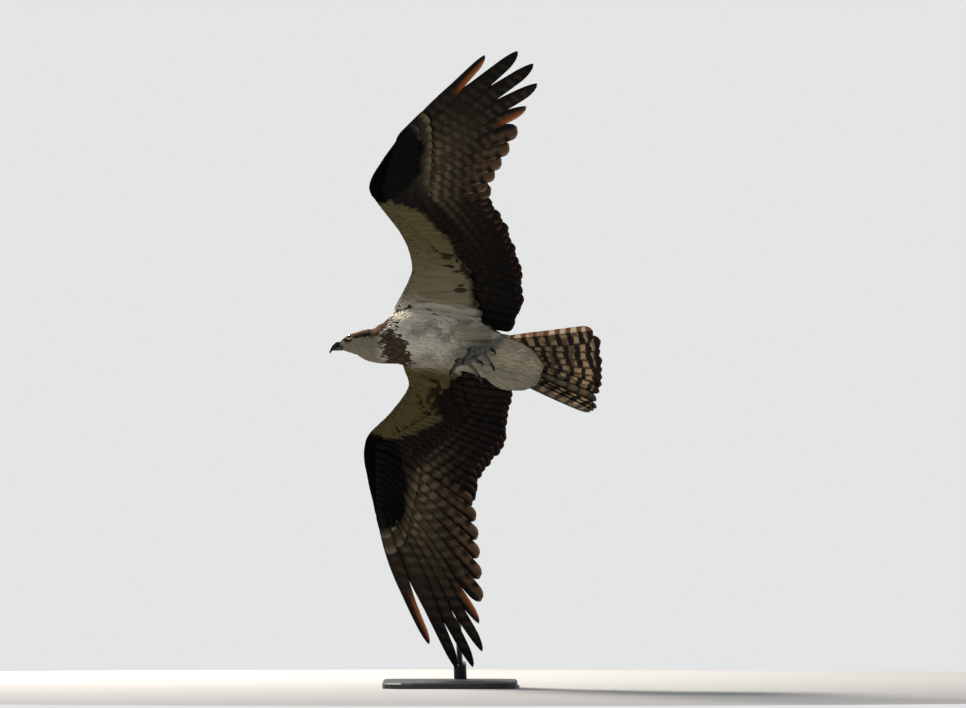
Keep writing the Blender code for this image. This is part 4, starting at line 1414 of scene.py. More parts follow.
@dataclass(frozen=True)
class Markings:
    """Where the body and head are white, mottled or dark brown, and where painted shade darkens them."""

    white: str = "#d6d0bd"
    brown: str = "#3a2d23"
    band: str = "#2e2218"
    shaded_throat: str = "#8d8770"
    vent: str = "#b8ad92"
    nape: str = "#7a5840"
    hollow_shade: str = "#8e897c"

    def trunk(self, points: Array) -> Array:
        """Markings of the trunk, neck, thighs and tail base.

        Args:
            points: places in the bird's frame.

        Returns:
            Linear colours.
        """
        x, y, z = points.T
        wander = 4.0 * np.sin(x * 0.31 + y * 0.17) + 3.0 * np.sin(y * 0.43 - z * 0.29)
        speck = np.sin(x * 12.99 + y * 78.23 + z * 37.72)
        rows = (*NECK[:3], *TRUNK[2:])
        aside, middle, depth = (read_rows(rows, x, column, 0) for column in (1, 2, 4))
        # The neck turns with the rolled head, and so does the brown of its upper side.
        roll = np.radians(HEAD.roll_deg) * ease(x, -90.0, -150.0)
        high = ((z - middle) * np.cos(roll) - (y - aside) * np.sin(roll) + wander * 0.6) / depth
        # Seen from below, low is the height in the picture.
        bank = math.radians(POSE.bank_deg)
        low = math.sin(bank) * -y + math.cos(bank) * z
        edge = -0.37 + 0.62 * ease(x, -118.0, -84.0)
        above = ease(high - edge, 0.0, 0.2 - 0.1 * ease(x, -90.0, -60.0))
        warm = layered("#271b13", (self.nape, ease(high - edge, 0.1, 0.5) * ease(x, -90.0, -110.0)))
        # Painted shade: the loose feathers of breast and belly are greyed in soft, slanting bands, where they
        # would part in hollows.
        bend = 1.7 * np.sin(0.052 * x + 0.3)
        hollow_shade = 0.5 + 0.5 * np.sin(0.10 * low - 0.045 * x + bend + 0.9 * np.sin(0.13 * x))
        streak = ease(speck, 0.1, 0.8) * ease(x, -86.0, -104.0) * ease(low, -6.0, 8.0)
        # Painted light: a pale cream patch on the shoulder stands for light shining through its feathers.
        lit_cream = ease(np.abs(x + 98.0), 22.0, 12.0) * ease(low, 22.0, 32.0) * ease(high, 0.95, 0.75)
        # The band runs across the breast, square to the line of the neck, and is mottled with white.
        wide = 1.0 + 0.3 * ease(low, 10.0, -20.0)
        away = np.abs(x - (-102.0 + 0.35 * (16.0 - low)) + wander * 0.8) / wide
        share = ease(away, 26.0, 13.0) * ease(low, 44.0, 30.0) * (0.4 + 0.7 * ease(low, 16.0, -18.0))
        second = 0.5 + 0.5 * np.sin(x * 41.3 - y * 23.1 + z * 57.9)
        # Painted shade darkens the vent towards the tail.
        tint = layered(self.white, (self.vent, ease(x, 66.0, 110.0)),
                       # Painted shade on the thigh.
                       ("#9a927b", ease(z, -50.0, -64.0) * ease(x, -10.0, 60.0) * ease(x, 118.0, 96.0)),
                       # Painted shade darkens the body towards its lower side as seen from below.
                       ("#978f78", 0.85 * ease(low, -18.0, -72.0)),
                       # Painted shade on the throat and neck.
                       (self.shaded_throat, ease(x, -98.0, -128.0)),
                       (self.hollow_shade, 0.8 * hollow_shade ** 3 * ease(x, -76.0, -50.0)),
                       (self.white, 0.45 * streak),
                       (warm, above),
                       ("#f4ead2", lit_cream * ease(speck + wander * 0.1, -0.5, 0.0)),
                       (layered(self.band, ("#54402f", second ** 2)),
                        0.96 * ease(speck + 2.5 * share - 1.1, 0.0, 0.3)))
        for spot_x, spot_low in ((-22.0, 54.0), (-12.0, 47.0), (89.0, 39.0)):
            gap = np.hypot((x - spot_x) / 6.0, (low - spot_low) / 3.0)
            tint = layered(tint, (self.band, 0.7 * ease(gap, 1.3, 0.7)))
        # The tail's upper coverts are as dark as the back.
        roof = z + 34.5 + 0.21 * (x - 118.0)
        return layered(tint, (self.brown, ease(roof, -14.0, -9.0) * ease(x, 96.0, 112.0)))

    def head(self, places: Array) -> Array:
        """Markings of the head.

        Args:
            places: places in the head's frame.

        Returns:
            Linear colours.
        """
        x, y, z = places.T
        wander = 1.2 * np.sin(x * 0.9 + y * 0.7) + 0.8 * np.sin(z * 1.3 + x * 0.4)
        stripe_z = 4.0 - 0.03 * (x + 1.0)
        half = np.interp(x, (-20.0, -6.0, 12.0, 34.0, 50.0), (3.6, 6.6, 7.5, 11.0, 14.0))
        stripe = ease(np.abs(z - stripe_z + wander), half + 1.0, half - 1.2)
        warm = layered("#271b13", (self.nape, ease(z - stripe_z, -1.0, 4.0) * ease(x, -6.0, 8.0)))
        # Dark skin and small dark feathers ring the eye and run forward to the bill.
        ring = ease(np.hypot(np.hypot(x + 3.0, z - 4.5), np.abs(np.abs(y) - 15.0) * 0.6), 12.5, 9.5)
        crown = ease(np.abs(y + wander), 8.0, 3.0) * ease(z, 14.0, 18.0) * ease(x, -8.0, 2.0)
        # Painted shade darkens the lower side of the head.
        return layered(self.white, (self.shaded_throat, ease(z, 5.0, -5.0)),
                       (warm, stripe * ease(np.abs(y), 5.0, 9.0)),
                       ("#15100c", 0.92 * ring),
                       ("#5a4636", 0.7 * crown),
                       ("#45362a", 0.85 * ease(x + wander, 32.0, 44.0) * ease(z, -2.0, 8.0)))

    def hide(self, points: Array) -> Array:
        """Markings of every place of the hide.

        Args:
            points: places in the bird's frame.

        Returns:
            Linear colours.
        """
        places = carry(points, HEAD.matrix().inverted())
        tint = layered(self.head(places), (self.trunk(points), ease(places[:, 0], 36.0, 50.0)))
        for plan in WINGS:
            back, out = points[:, 0], plan.side.value * points[:, 1]
            level = plan.height(back, out) + plan.stack(out)
            wander = 3.0 * np.sin(back * 0.21 + out * 0.33)
            under = plan.under_tint(back, out, wander)
            wing = layered(under, (self.brown, ease(points[:, 2] - level, -2.0, 2.0)))
            share = ease(out, 58.0, 74.0) * ease(points[:, 2], -28.0, -12.0)
            tint = layered(tint, (wing, share))
        return tint


MARKINGS = Markings()


def scattered(points: Array, spacing: Array | float) -> Array:
    """Pick points so that no two stand closer than a spacing.

    Args:
        points: rows of places.
        spacing: least distance, one for all or one for each point.

    Returns:
        Numbers of the points that stay.
    """
    reach = np.broadcast_to(spacing, len(points))
    tree = KDTree(len(points))
    for number, point in enumerate(points):
        tree.insert(Vector(point), number)
    tree.balance()
    alive = np.ones(len(points), bool)
    kept = []
    for number in range(len(points)):
        if alive[number]:
            kept.append(number)
            near = [hit[1] for hit in tree.find_range(Vector(points[number]), float(reach[number]))]
            alive[near] = False
    return np.array(kept, int)


@dataclass
class BodyCoat:
    """Contour feathers of the head, neck, trunk, thighs and tail base, laid along the hide."""

    skin: Skin
    small: VaneTemplate = VaneTemplate(4, 3)
    patch_size: float = 0.003
    ahead: float = 0.12
    tries: int = 90000

    def candidates(self, count: int) -> tuple[Array, Array]:
        """Random places on the hide.

        Args:
            count: how many places.

        Returns:
            Places and normals.
        """
        corners = np.array([face[:4] for face in self.skin.faces if len(face) >= 4])
        picks = rng.integers(0, len(corners), count)
        quads = self.skin.points[corners[picks]]
        u, w = rng.random((2, count, 1))
        points = ((quads[:, 0] * (1 - u) + quads[:, 1] * u) * (1 - w)
                  + (quads[:, 3] * (1 - u) + quads[:, 2] * u) * w)
        normals = unit(np.cross(quads[:, 2] - quads[:, 0], quads[:, 3] - quads[:, 1]))
        return points, normals

    def lie(self, points: Array, normals: Array, heads: Array) -> Array:
        """Direction in which each feather points, along the body from bill to tail.

        Args:
            points: roots in the bird's frame.
            normals: outward normals there.
            heads: share of the head for each root.

        Returns:
            Unit directions on the hide.
        """
        back = np.zeros_like(points)
        back[:, 0] = 1.0
        spread = np.clip(points[:, 1] / 60.0, -1.0, 1.0)
        back[:, 1] = 0.35 * spread * ease(points[:, 0], -110.0, -40.0)
        back[:, 2] = -0.15 * ease(-points[:, 2], 20.0, 60.0)
        facing = np.array(HEAD.matrix().to_3x3() @ Vector((1.0, 0.0, 0.0)))
        back = back + (facing - back) * heads[:, None]
        back += rng.normal(0.0, 0.13, points.shape)
        return unit(back - normals * np.sum(back * normals, axis=1, keepdims=True))

    def lay(self, roots: Array, lie: Array, length: Array, width: Array, lift: Array) -> Vanes:
        """Lay feathers on the hide.

        Args:
            roots: where they start.
            lie: where they point.
            length: their lengths.
            width: their half widths.
            lift: how far their tips stand off the hide.

        Returns:
            The vanes.
        """
        rows = self.small.rows
        shares = np.linspace(0.0, 1.0, rows)
        rises = np.array((-0.4, 0.5, 0.9, 0.95))
        centres, ups, spots = [], [], None
        for share, rise in zip(shares, rises):
            places, outward, found = self.skin.nearest(roots + lie * (length * share)[:, None])
            spots = found if spots is None else spots
            centres.append(places + outward * (rise * lift)[:, None])
            ups.append(outward)
        centre, up = np.stack(centres, axis=1), np.stack(ups, axis=1)
        along = unit(np.gradient(centre, axis=1))
        cross = unit(np.cross(along, up))
        sizes = width[:, None] * np.array((0.55, 1.0, 0.82, 0.2))
        lead = sizes * rng.uniform(0.85, 1.1, (len(roots), 1))
        tints = MARKINGS.hide((roots + lie * (length * 0.8)[:, None]))
        tints = tints * rng.uniform(0.95, 1.04, (len(roots), 1))
        plume = np.repeat(tints[:, None, :], rows, axis=1)
        return Vanes(centre, cross, unit(np.cross(cross, along)), lead, sizes, np.full(centre.shape[:2], 0.1),
                     plume, spots, np.full((len(roots), 2), self.patch_size), None, 0.06)

    def build(self) -> None:
        """Lay the coat in pieces by region."""
        points, normals = self.candidates(self.tries)
        places = carry(points, HEAD.matrix().inverted())
        heads = ease(places[:, 0], 44.0, 34.0)
        wing = np.zeros(len(points))
        for plan in WINGS:
            out = plan.side.value * points[:, 1]
            wing = np.maximum(wing, ease(out, 66.0, 70.0) * ease(points[:, 2], -30.0, -22.0))
        eye = np.full(len(points), 99.0)
        for sign in (-1.0, 1.0):
            eye = np.minimum(eye, np.linalg.norm(places - np.array((-1.0, 15.0 * sign, 4.5)), axis=1))
        bill = ease(places[:, 0], -17.0, -19.0)
        keep = (wing < 0.5) & (eye > 7.2) & (bill < 0.5)
        points, normals, heads = points[keep], normals[keep], heads[keep]
        face = ease(places[keep, 0], 10.0, -16.0) * heads
        breast = ease(points[:, 0], -42.0, -66.0) * (1.0 - heads)
        spacing = 4.1 - 1.6 * heads - 0.7 * face - 1.2 * breast - 0.8 * ease(points[:, 0], 80.0, 130.0)
        kept = scattered(points, spacing)
        points, normals, heads, face, breast = (rows[kept] for rows in (points, normals, heads, face, breast))
        count = len(points)
        tail = ease(points[:, 0], 80.0, 130.0)
        length = 21.0 - 12.5 * heads - 3.0 * face + 12.0 * tail - 9.0 * breast
        length = length * rng.uniform(0.8, 1.2, count)
        width = 3.4 - 1.7 * heads - 0.5 * face - 0.3 * tail - 1.2 * breast
        width = width * rng.uniform(0.85, 1.15, count)
        lift = (0.6 - 0.1 * face + 0.6 * tail) * rng.uniform(0.6, 1.4, count)
        wisps = (tail > 0.3) & (rng.random(count) < 0.14)
        length, lift = np.where(wisps, length * 1.35, length), np.where(wisps, lift * 1.6, lift)
        lie = self.lie(points, normals, heads)
        roots = points - lie * (length * self.ahead)[:, None]
        vanes = self.lay(roots, lie, length, width, lift)
        LOG.info("body coat: %d feathers", count)
        material = ContourFinish().material()
        low = points[:, 2] < read_rows(TRUNK, points[:, 0], 2, 0)
        regions = (("coat_head", heads > 0.5), ("coat_belly", (heads <= 0.5) & low & (points[:, 0] < 20.0)),
                   ("coat_vent", (heads <= 0.5) & low & (points[:, 0] >= 20.0)),
                   ("coat_back", (heads <= 0.5) & ~low))
        for name, mask in regions:
            place_vanes(name, vanes.part(mask), self.small, material, "white_feather")


@dataclass(frozen=True)
class Tier:
    """One tier of coverts, with its share of the chord and its least and greatest sizes in millimetres."""

    name: str
    template: VaneTemplate
    spacing: float
    chord: tuple[float, float]
    beyond: float
    length: tuple[float, float]
    width: tuple[float, float]
    lift: tuple[float, float]
    rimmed: bool = False


@dataclass
class WingCoat:
    """Coverts of one wing's upper and lower face, laid in plan in tiers."""

    plan: WingPlan
    skin: Skin
    long: VaneTemplate = VaneTemplate(8, 3)
    tiers: tuple[Tier, ...] = (
        Tier("coverts", VaneTemplate(4, 3), 3.8, (0.02, 0.96), 8.0, (15.0, 21.0), (3.2, 4.4), (0.4, 1.0),
             True),
        Tier("median", long, 8.0, (0.72, 1.08), 4.0, (30.0, 44.0), (6.0, 8.0), (1.6, 3.0)))
    patch_size: float = 0.003
    first_root: float = 46.0
    margin: float = 2.2
    axillars: int = 150

    def lay(self, template: VaneTemplate, back: Array, out: Array, above: float, length: Array,
            width: Array, lift: Array, turn: Array | float = 0.0) -> Vanes:
        """Lay coverts on one face of the wing.

        Args:
            template: grid of one covert.
            back: roots' distances back.
            out: roots' distances out.
            above: 1 for the upper face, -1 for the lower one.
            length: lengths.
            width: half widths.
            lift: how far the coverts' middles stand off the face.
            turn: extra angle outwards in radians, one for all or one for each.

        Returns:
            The vanes.
        """
        plan, count = self.plan, len(back)
        front = plan.front(out)
        tight = ease((back - front) / np.maximum(plan.rear(out) - front, 1.0), -0.15, 0.4)
        angle = plan.heading(out) + turn + rng.normal(0.0, 0.09, count)
        shares = np.linspace(0.0, 1.0, template.rows)
        step = (length * (0.5 + 0.5 * tight))[:, None] * shares
        b = back[:, None] + np.cos(angle)[:, None] * step
        o = out[:, None] + np.sin(angle)[:, None] * step
        room = b - plan.front(o) - self.margin * ease(o, plan.hand_tip()[1] - 45.0, plan.hand_tip()[1])
        b, room = b - np.minimum(room, 0.0), np.maximum(room, 0.0)
        curve = np.interp(shares, (0.0, 0.3, 0.8, 1.0), (-0.3, 0.6, 1.0, 0.85))
        rise = above * (lift * (0.25 + 0.75 * tight))[:, None] * curve
        centre = plan.spot(b, o, plan.face(b, o, above) + rise)
        reach = 3.0
        b_side, o_side = -np.sin(angle)[:, None] * reach, np.cos(angle)[:, None] * reach
        ahead, middle = (plan.spot(at, far, plan.height(at, far) + plan.stack(far))
                         for at, far in ((b + b_side, o + o_side), (b, o)))
        cross = (ahead - middle) / reach
        up = np.zeros_like(centre)
        up[..., 2] = above
        shape = np.interp(shares, (0.0, 0.25, 0.75, 0.92, 1.0), (0.5, 0.95, 0.95, 0.72, 0.32))
        sizes = (width * (0.4 + 0.6 * tight))[:, None] * shape
        # A web that would stand out ahead of the leading edge ends at it.
        slant = np.sin(angle)[:, None] + (plan.front(o + 1.0) - plan.front(o)) * np.cos(angle)[:, None]
        limit = room / np.maximum(np.abs(slant), 0.02) + 0.4
        lead = np.where(slant > 0.0, np.minimum(sizes, limit), sizes)
        trail = np.where(slant < 0.0, np.minimum(sizes, limit), sizes)
        if above < 0:
            tints = plan.under_tint(b, o, rng.normal(0.0, 3.0, (count, 1)))
            # Single dark feathers stand in the lining, most of them in a strip near its rear border.
            ahead = read_rows(plan.lining_rear, o[:, -1])
            strip = ease(np.abs(ahead - b[:, -1] - 14.0), 24.0, 12.0)
            strip = strip * ease(out, 84.0, 108.0) * ease(out, 250.0, 215.0)
            marked = rng.random(count) < np.where(length < 60.0, 0.012 + 0.7 * strip, 0.0)
            dark = np.where(marked[:, None], ease(shares, 0.3, 0.6) * 0.85, 0.0)
            tints = layered(tints, ("#1d160f", dark))
        else:
            tints = np.broadcast_to(rgb(MARKINGS.brown), (*b.shape, 3))
            tints = layered(tints, ("#8d7a60", np.broadcast_to(ease(shares, 0.86, 1.0) * 0.5, b.shape)))
        tints = tints * rng.uniform(0.86, 1.1, (count, 1, 1))
        spots = self.skin.nearest(centre[:, 0])[2]
        return Vanes(centre, cross, up, lead, trail, np.full(b.shape, 0.12), tints, spots,
                     np.full((count, 2), self.patch_size), None, 0.1)

    def roots(self, spacing: float, low: float, high: float, first: float,
              last: float) -> tuple[Array, Array]:
        """Scattered roots over a share of the wing's core.

        Args:
            spacing: least distance between roots.
            low: share of the chord where the field starts.
            high: share of the chord where it ends.
            first: innermost distance out.
            last: outermost distance out.

        Returns:
            Distances back and out.
        """
        count = int((last - first) * 90.0 * 4.0 / spacing ** 2)
        out = rng.uniform(first, last, count)
        front, rear = self.plan.front(out), self.plan.rear(out)
        back = front + (rear - front) * rng.uniform(low, high, count)
        kept = scattered(np.stack([back, out, np.zeros(count)], axis=1), spacing)
        return back[kept], out[kept]

    def build(self) -> None:
        """Lay lesser and median coverts on both faces, and the long white ones in the armpit."""
        tip = self.plan.hand_tip()[1]
        word = self.plan.name.split("_")[1]
        material = ContourFinish().material()
        for label, above in (("under", -1.0), ("upper", 1.0)):
            slot = "white_feather" if above < 0 else "brown_feather"
            for tier in self.tiers:
                back, out = self.roots(tier.spacing, *tier.chord, self.first_root, tip + tier.beyond)
                turn = 0.0
                if tier.rimmed:
                    rim = np.arange(40.0, tip - 8.0, 3.0)
                    slope = self.plan.front(rim + 1.0) - self.plan.front(rim)
                    turn = np.append(np.zeros(len(out)), np.arctan2(1.0, slope) - self.plan.heading(rim))
                    back, out = np.append(back, self.plan.front(rim) + 1.6), np.append(out, rim)
                length, width, lift = (rng.uniform(*limits, len(out))
                                       for limits in (tier.length, tier.width, tier.lift))
                vanes = self.lay(tier.template, back, out, above, length, width, lift, turn)
                place_vanes(f"{tier.name}_{label}_{word}", vanes, tier.template, material, slot)
        count = self.axillars
        out = rng.uniform(44.0, 165.0, count)
        back = self.plan.bone(out) + rng.uniform(-22.0, 30.0, count)
        limit = read_rows(self.plan.lining_rear, out)
        length = np.clip((limit - back) * rng.uniform(0.72, 1.02, count), 22.0, 130.0)
        axillars = self.lay(self.long, back, out, -1.0, length, rng.uniform(8.0, 12.0, count),
                            rng.uniform(2.0, 4.5, count))
        place_vanes(f"axillars_{word}", axillars, self.long, material, "white_feather")


def rounded_end(shares: Array, turn: float) -> Array:
    """Share of a feather's width that is left where its end rounds off from a turn on."""
    past = np.clip((shares - turn) / (1.0 - turn), 0.0, 1.0)
    return np.maximum(np.sqrt(1.0 - past ** 2), BLUNT_END)


def vane_row(lines: list[tuple], plume: Array, traits: Array, camber: float,
             upper: Array | None = None) -> Vanes:
    """Long vanes side by side, each with a strip of the bake map to itself.

    Args:
        lines: centre, crosswise and upward directions, leading and trailing widths of each vane.
        plume: colours, row by row.
        traits: traits, row by row.
        camber: how far the vanes are arched.
        upper: colour of the upper face, where it has one of its own.

    Returns:
        The vanes.
    """
    centre, cross, up, lead, trail = (np.array(rows) for rows in zip(*lines))
    count = len(lines)
    places = np.stack([(np.arange(count) + 0.5) / count, np.full(count, 0.5)], axis=1)
    patch = np.tile((0.8 / count, 0.94), (count, 1))
    thick = np.full(centre.shape[:2], LONG_VANE_THICK)
    return Vanes(centre, cross, up, lead, trail, thick, plume, places, patch, traits, camber, upper)


# Where the end starts to round off, then places and shares of width of the leading and trailing webs.
FINGER_WEBS = (0.88,
               ((0, 0.12, 0.3, 0.42, 0.54, 0.66, 0.8, 0.92, 1), (0.3, 0.7, 0.95, 1, 0.9, 0.7, 0.6, 0.5, 0.4)),
               ((0, 0.12, 0.3, 0.42, 0.56, 0.68, 0.8, 0.92, 1),
                (0.22, 0.6, 0.92, 1, 0.95, 0.78, 0.7, 0.6, 0.5)))
BROAD_WEBS = (0.93, ((0, 0.15, 0.35, 0.8, 1), (0.3, 0.75, 1, 0.95, 0.85)),
              ((0, 0.15, 0.35, 0.8, 1), (0.22, 0.7, 1, 0.95, 0.85)))


@dataclass
class WingQuills:
    """Flight feathers and greater coverts of one wing."""

    plan: WingPlan
    broad: VaneTemplate = VaneTemplate(26, 9)
    covert: VaneTemplate = VaneTemplate(20, 5)
    tiers: tuple[tuple, ...] = (("greater", 4.7, 0.42, 98.0, (9.0, 18.0)),
                                ("middle", 6.4, 0.29, 64.0, (9.0, 15.0)))

    def outline(self, finger: bool, shares: Array) -> tuple[Array, Array]:
        """Half widths along a feather as shares of its full webs.

        Args:
            finger: whether the feather narrows towards its tip.
            shares: places from root to tip.

        Returns:
            Shares of the leading and trailing web.
        """
        turn, *webs = FINGER_WEBS if finger else BROAD_WEBS
        lead, trail = (np.interp(shares, *web) * rounded_end(shares, turn) for web in webs)
        return lead, trail

    def lay(self, quills: list[Quill], template: VaneTemplate, lift: float, reaches: list[float],
            widths: tuple[float, float] | None, above: float) -> Vanes:
        """Lay long vanes over the wing's middle surface.

        Args:
            quills: the feathers in plan.
            template: grid of one vane.
            lift: distance off the middle surface.
            reaches: share of each feather's length that its vane covers.
            widths: fixed leading and trailing widths, or None for the feather's own.
            above: 1 where the upper face shows, -1 where the lower one does.

        Returns:
            The vanes.
        """
        plan, count = self.plan, len(quills)
        shares, lines = template.shares(), []
        for quill, reach in zip(quills, reaches):
            step = (shares * 1.03 - 0.03) * quill.length * reach
            place = np.clip(shares * reach, 0.0, 1.0)
            bow = quill.bow * 4.0 * place * (1.0 - place)
            heading, side = np.array(quill.heading), np.array((-quill.heading[1], quill.heading[0]))

            def spots(aside: float) -> Array:
                """Places of the feather's line, moved aside in plan.

                Args:
                    aside: how far.

                Returns:
                    Places in the bird's frame.
                """
                back = quill.root[0] + heading[0] * step + side[0] * (bow + aside)
                out = quill.root[1] + heading[1] * step + side[1] * (bow + aside)
                up = plan.height(back, out) + quill.level + lift + quill.tilt * aside
                return plan.spot(back, out, up)

            centre = spots(0.0)
            cross = (spots(HALF_REACH) - spots(-HALF_REACH)) / (2.0 * HALF_REACH)
            up = unit(np.cross(cross, unit(np.gradient(centre, axis=0))))
            lead, trail = self.outline(quill.finger and widths is None, shares)
            wide = widths or (quill.lead, quill.trail)
            lines.append((centre, cross, up * np.sign(up[:, 2:]), lead * wide[0], trail * wide[1]))
        size = (count, template.rows)
        plume = np.broadcast_to(rgb("#15110e"), (*size, 3))
        if widths is None:
            hand = np.clip([2.2 * q.traits[0] - 0.1 for q in quills], 0.0, 1.0)[:, None]
            base = hand * ease(np.broadcast_to(shares, size), 0.8, 0.35)
            plume = layered(plume, ("#4a3f2c", 0.75 * base))
        elif above < 0:
            hand = np.array([q.traits[0] > 0.2 or q.traits[2] > 0.0 or q.finger for q in quills]) * 1.0
            outer = hand * np.linspace(0.0, 1.0, count) ** 1.5
            tip = np.broadcast_to(ease(shares, 0.8, 0.93), size) * outer[:, None]
            tip = tip * rng.uniform(0.25, 1.0, (count, 1))
            plume = layered(np.ones((*size, 3)), (rgb("#7a7255") / rgb("#3d3426"), tip))
        else:
            plume = np.broadcast_to(rgb(MARKINGS.brown), (*size, 3))
            plume = layered(plume, ("#8d7a60", np.broadcast_to(ease(shares, 0.9, 1.0) * 0.6, size)))
        plume = plume * rng.uniform(0.88, 1.1, (count, 1, 1))
        traits = np.array([q.traits if widths is None else (0.0, 0.04, 0.0) for q in quills])
        traits = np.repeat(traits[:, None, :], template.rows, axis=1)
        return vane_row(lines, plume, traits, 0.05, rgb(MARKINGS.brown) * 0.75)

    def build(self) -> None:
        """Build the flight feathers and both tiers of greater coverts."""
        quills = self.plan.quills()
        word = self.plan.name.split("_")[1]
        material = FlightFinish().material()
        flight = self.lay(quills, self.broad, 0.0, [1.0] * len(quills), None, -1.0)
        name = f"quills_{word}"
        place_piece(name, flight.mesh(name, self.broad), material, "brown_feather", self.plan.name)
        covered = quills[self.plan.tertials // 2:]
        first_hand = len(covered) - len(self.plan.primary_lengths)
        for label, above in (("under", -1.0), ("upper", 1.0)):
            for tier, lift, arm_share, hand_mm, widths in self.tiers:
                reaches = [arm_share if number < first_hand else hand_mm / quill.length
                           for number, quill in enumerate(covered)]
                vanes = self.lay(covered, self.covert, above * lift, reaches, widths, above)
                name = f"{tier}_{label}_{word}"
                tint = self.plan.under_points if above < 0 else None
                place_piece(name, vanes.mesh(name, self.covert, tint), material, "brown_feather")


@dataclass
class Tail:
    """Twelve tail feathers in a dished fan, in millimetres and degrees."""

    root: tuple[float, float, float] = (118.0, 3.0, -34.5)
    axis: tuple[float, float, float] = (214.0, 21.0, -45.0)
    length: float = 219.0
    pairs: int = 6
    half_fan: float = 23.0
    roll: float = 23.0
    dish: float = 292.0
    root_spread: float = 39.0
    step: float = 1.3
    dull: int = 8
    bunched: dict[tuple[float, int], float] = field(default_factory=lambda: {
        (1.0, 2): 2.9, (1.0, 3): 4.2, (1.0, 4): 4.85})
    reach_on: dict[tuple[float, int], float] = field(default_factory=lambda: {
        (-1.0, 5): -12.0, (1.0, 3): 6.0, (1.0, 4): 5.0})
    template: VaneTemplate = VaneTemplate(22, 9)

    def spot(self, arc: Array, reach: Array, lift: float) -> Array:
        """Points of the dished fan.

        Args:
            arc: distances out to the right.
            reach: distances back along the tail's axis.
            lift: distance off the dish.

        Returns:
            Points in the bird's frame.
        """
        axis = unit(np.array(self.axis))
        level = np.array((0.0, 1.0, 0.0))
        right = unit(level - axis * (level @ axis))
        upward = np.cross(axis, right)
        roll = math.radians(self.roll)
        slope = roll + arc / self.dish
        aside = self.dish * (np.sin(slope) - math.sin(roll)) - lift * np.sin(slope)
        rise = self.dish * (math.cos(roll) - np.cos(slope)) + lift * np.cos(slope)
        return (np.array(self.root) + axis * reach[..., None] + right * aside[..., None]
                + upward * rise[..., None])

    def build(self) -> None:
        """Build the fan of tail feathers."""
        shares, lines = self.template.shares(), []
        spread = self.half_fan / (self.pairs - 0.5)
        order = [(side, pair) for pair in range(self.pairs) for side in (-1.0, 1.0)]
        order.sort(key=lambda item: item[0] * (item[1] + 0.5))
        shape = np.interp(shares, (0.0, 0.12, 0.35, 0.85, 1.0), (0.35, 0.7, 0.88, 1.0, 0.92))
        shape = shape * rounded_end(shares, 0.91)
        for side, pair in order:
            place = self.bunched.get((side, pair), pair + 0.5)
            fan = math.radians(side * spread * place)
            start = self.root_spread * side * spread * place / self.half_fan
            length = self.length - 0.8 * pair + rng.uniform(-3.5, 0.5) + self.reach_on.get((side, pair), 0.0)
            outer, inner = (19.0, 21.0) if pair == 0 else (14.0, 25.0)
            lift = -self.step * (0 if (pair == 0 and side > 0) else pair + 1)
            along = length * (shares * 1.02 - 0.02)

            def spots(aside: float, off: float) -> Array:
                """Places of the feather's line, moved aside and off the fan.

                Args:
                    aside: how far to the side.
                    off: how far off the fan's face.

                Returns:
                    Places in the bird's frame.
                """
                arc = start + along * math.sin(fan) + side * aside * math.cos(fan)
                reach = along * math.cos(fan) - side * aside * math.sin(fan)
                return self.spot(arc, reach, lift + off)

            centre = spots(0.0, 0.0)
            cross = (spots(HALF_REACH, 0.0) - spots(-HALF_REACH, 0.0)) / (2.0 * HALF_REACH)
            lines.append((centre, cross, unit(spots(0.0, 1.0) - centre), outer * shape, inner * shape))
        size = (len(order), self.template.rows)
        traits = np.tile((1.0, 0.0, 0.0), (*size, 1))
        traits[self.dull, :, 0] = 0.12
        # The outermost left feather carries the painted sunlit strip.
        traits[0, :, 1] = 1.0
        traits[..., 2] = rng.uniform(0.0, 1.0, (size[0], 1))
        vanes = vane_row(lines, np.tile(rgb("#6b5238"), (*size, 1)), traits, 0.04)
        place_piece("tail_quills", vanes.mesh("tail_quills", self.template), TailFinish().material(),
                    "tail_feather", "tail")


@dataclass(frozen=True)
class Eye:
    """Eyeball with its lid ring, set in the side of the head."""

    side: Side
    radius: float = 8.4
    place: tuple[float, float, float] = (-1.0, 13.2, 4.5)
    forward: float = 0.3
    lid_angle: float = 58.0
    lid_size: float = 1.1

    def build(self) -> None:
        """Build the glossy ball and the dark lids round it."""
        sign = self.side.value
        centre = Vector((self.place[0], sign * self.place[1], self.place[2]))
        axis = Vector((-self.forward, sign, 0.05)).normalized()
        turn = axis.to_track_quat("Z", "Y").to_matrix().to_4x4()
        matrix = HEAD.matrix() @ Matrix.Translation(centre) @ turn
        word = self.side.name.lower()
        bm = bmesh.new()
        bmesh.ops.create_uvsphere(bm, u_segments=40, v_segments=28, radius=self.radius)
        name = f"eyeball_{word}"
        mesh = to_mesh(bm, name)
        points = np.array([v.co[:] for v in mesh.vertices])
        angle = np.degrees(np.arccos(np.clip(points[:, 2] / self.radius, -1.0, 1.0))) / 90.0
        around = np.arctan2(points[:, 1], points[:, 0]) / math.tau + 0.5
        set_tint(mesh, "Plume", np.stack([np.clip(angle, 0, 1), around, around], axis=1))
        place_solid(name, mesh, matrix, EyeFinish().material(), "eye", f"eye_{word}")
        reach = math.radians(self.lid_angle)
        bm = bmesh.new()
        hub = Matrix.Translation((self.radius * math.sin(reach), 0.0, self.radius * math.cos(reach)))
        bmesh.ops.create_circle(bm, segments=10, radius=self.lid_size,
                                matrix=hub @ Matrix.Rotation(math.radians(90.0), 4, "X"))
        bmesh.ops.spin(bm, geom=bm.verts[:] + bm.edges[:], angle=math.tau, steps=36, axis=(0, 0, 1),
                       cent=(0, 0, 0), use_merge=True)
        bmesh.ops.recalc_face_normals(bm, faces=bm.faces)
        name = f"lids_{word}"
        lids = to_mesh(bm, name)
        set_tint(lids, "Plume", np.tile((0.35, 0.35, 0.35), (len(lids.vertices), 1)))
        skin = HornFinish("lid_skin", "#17130f", "#3b3a38", 0.55)
        place_solid(name, lids, matrix, skin.material(), "horn")


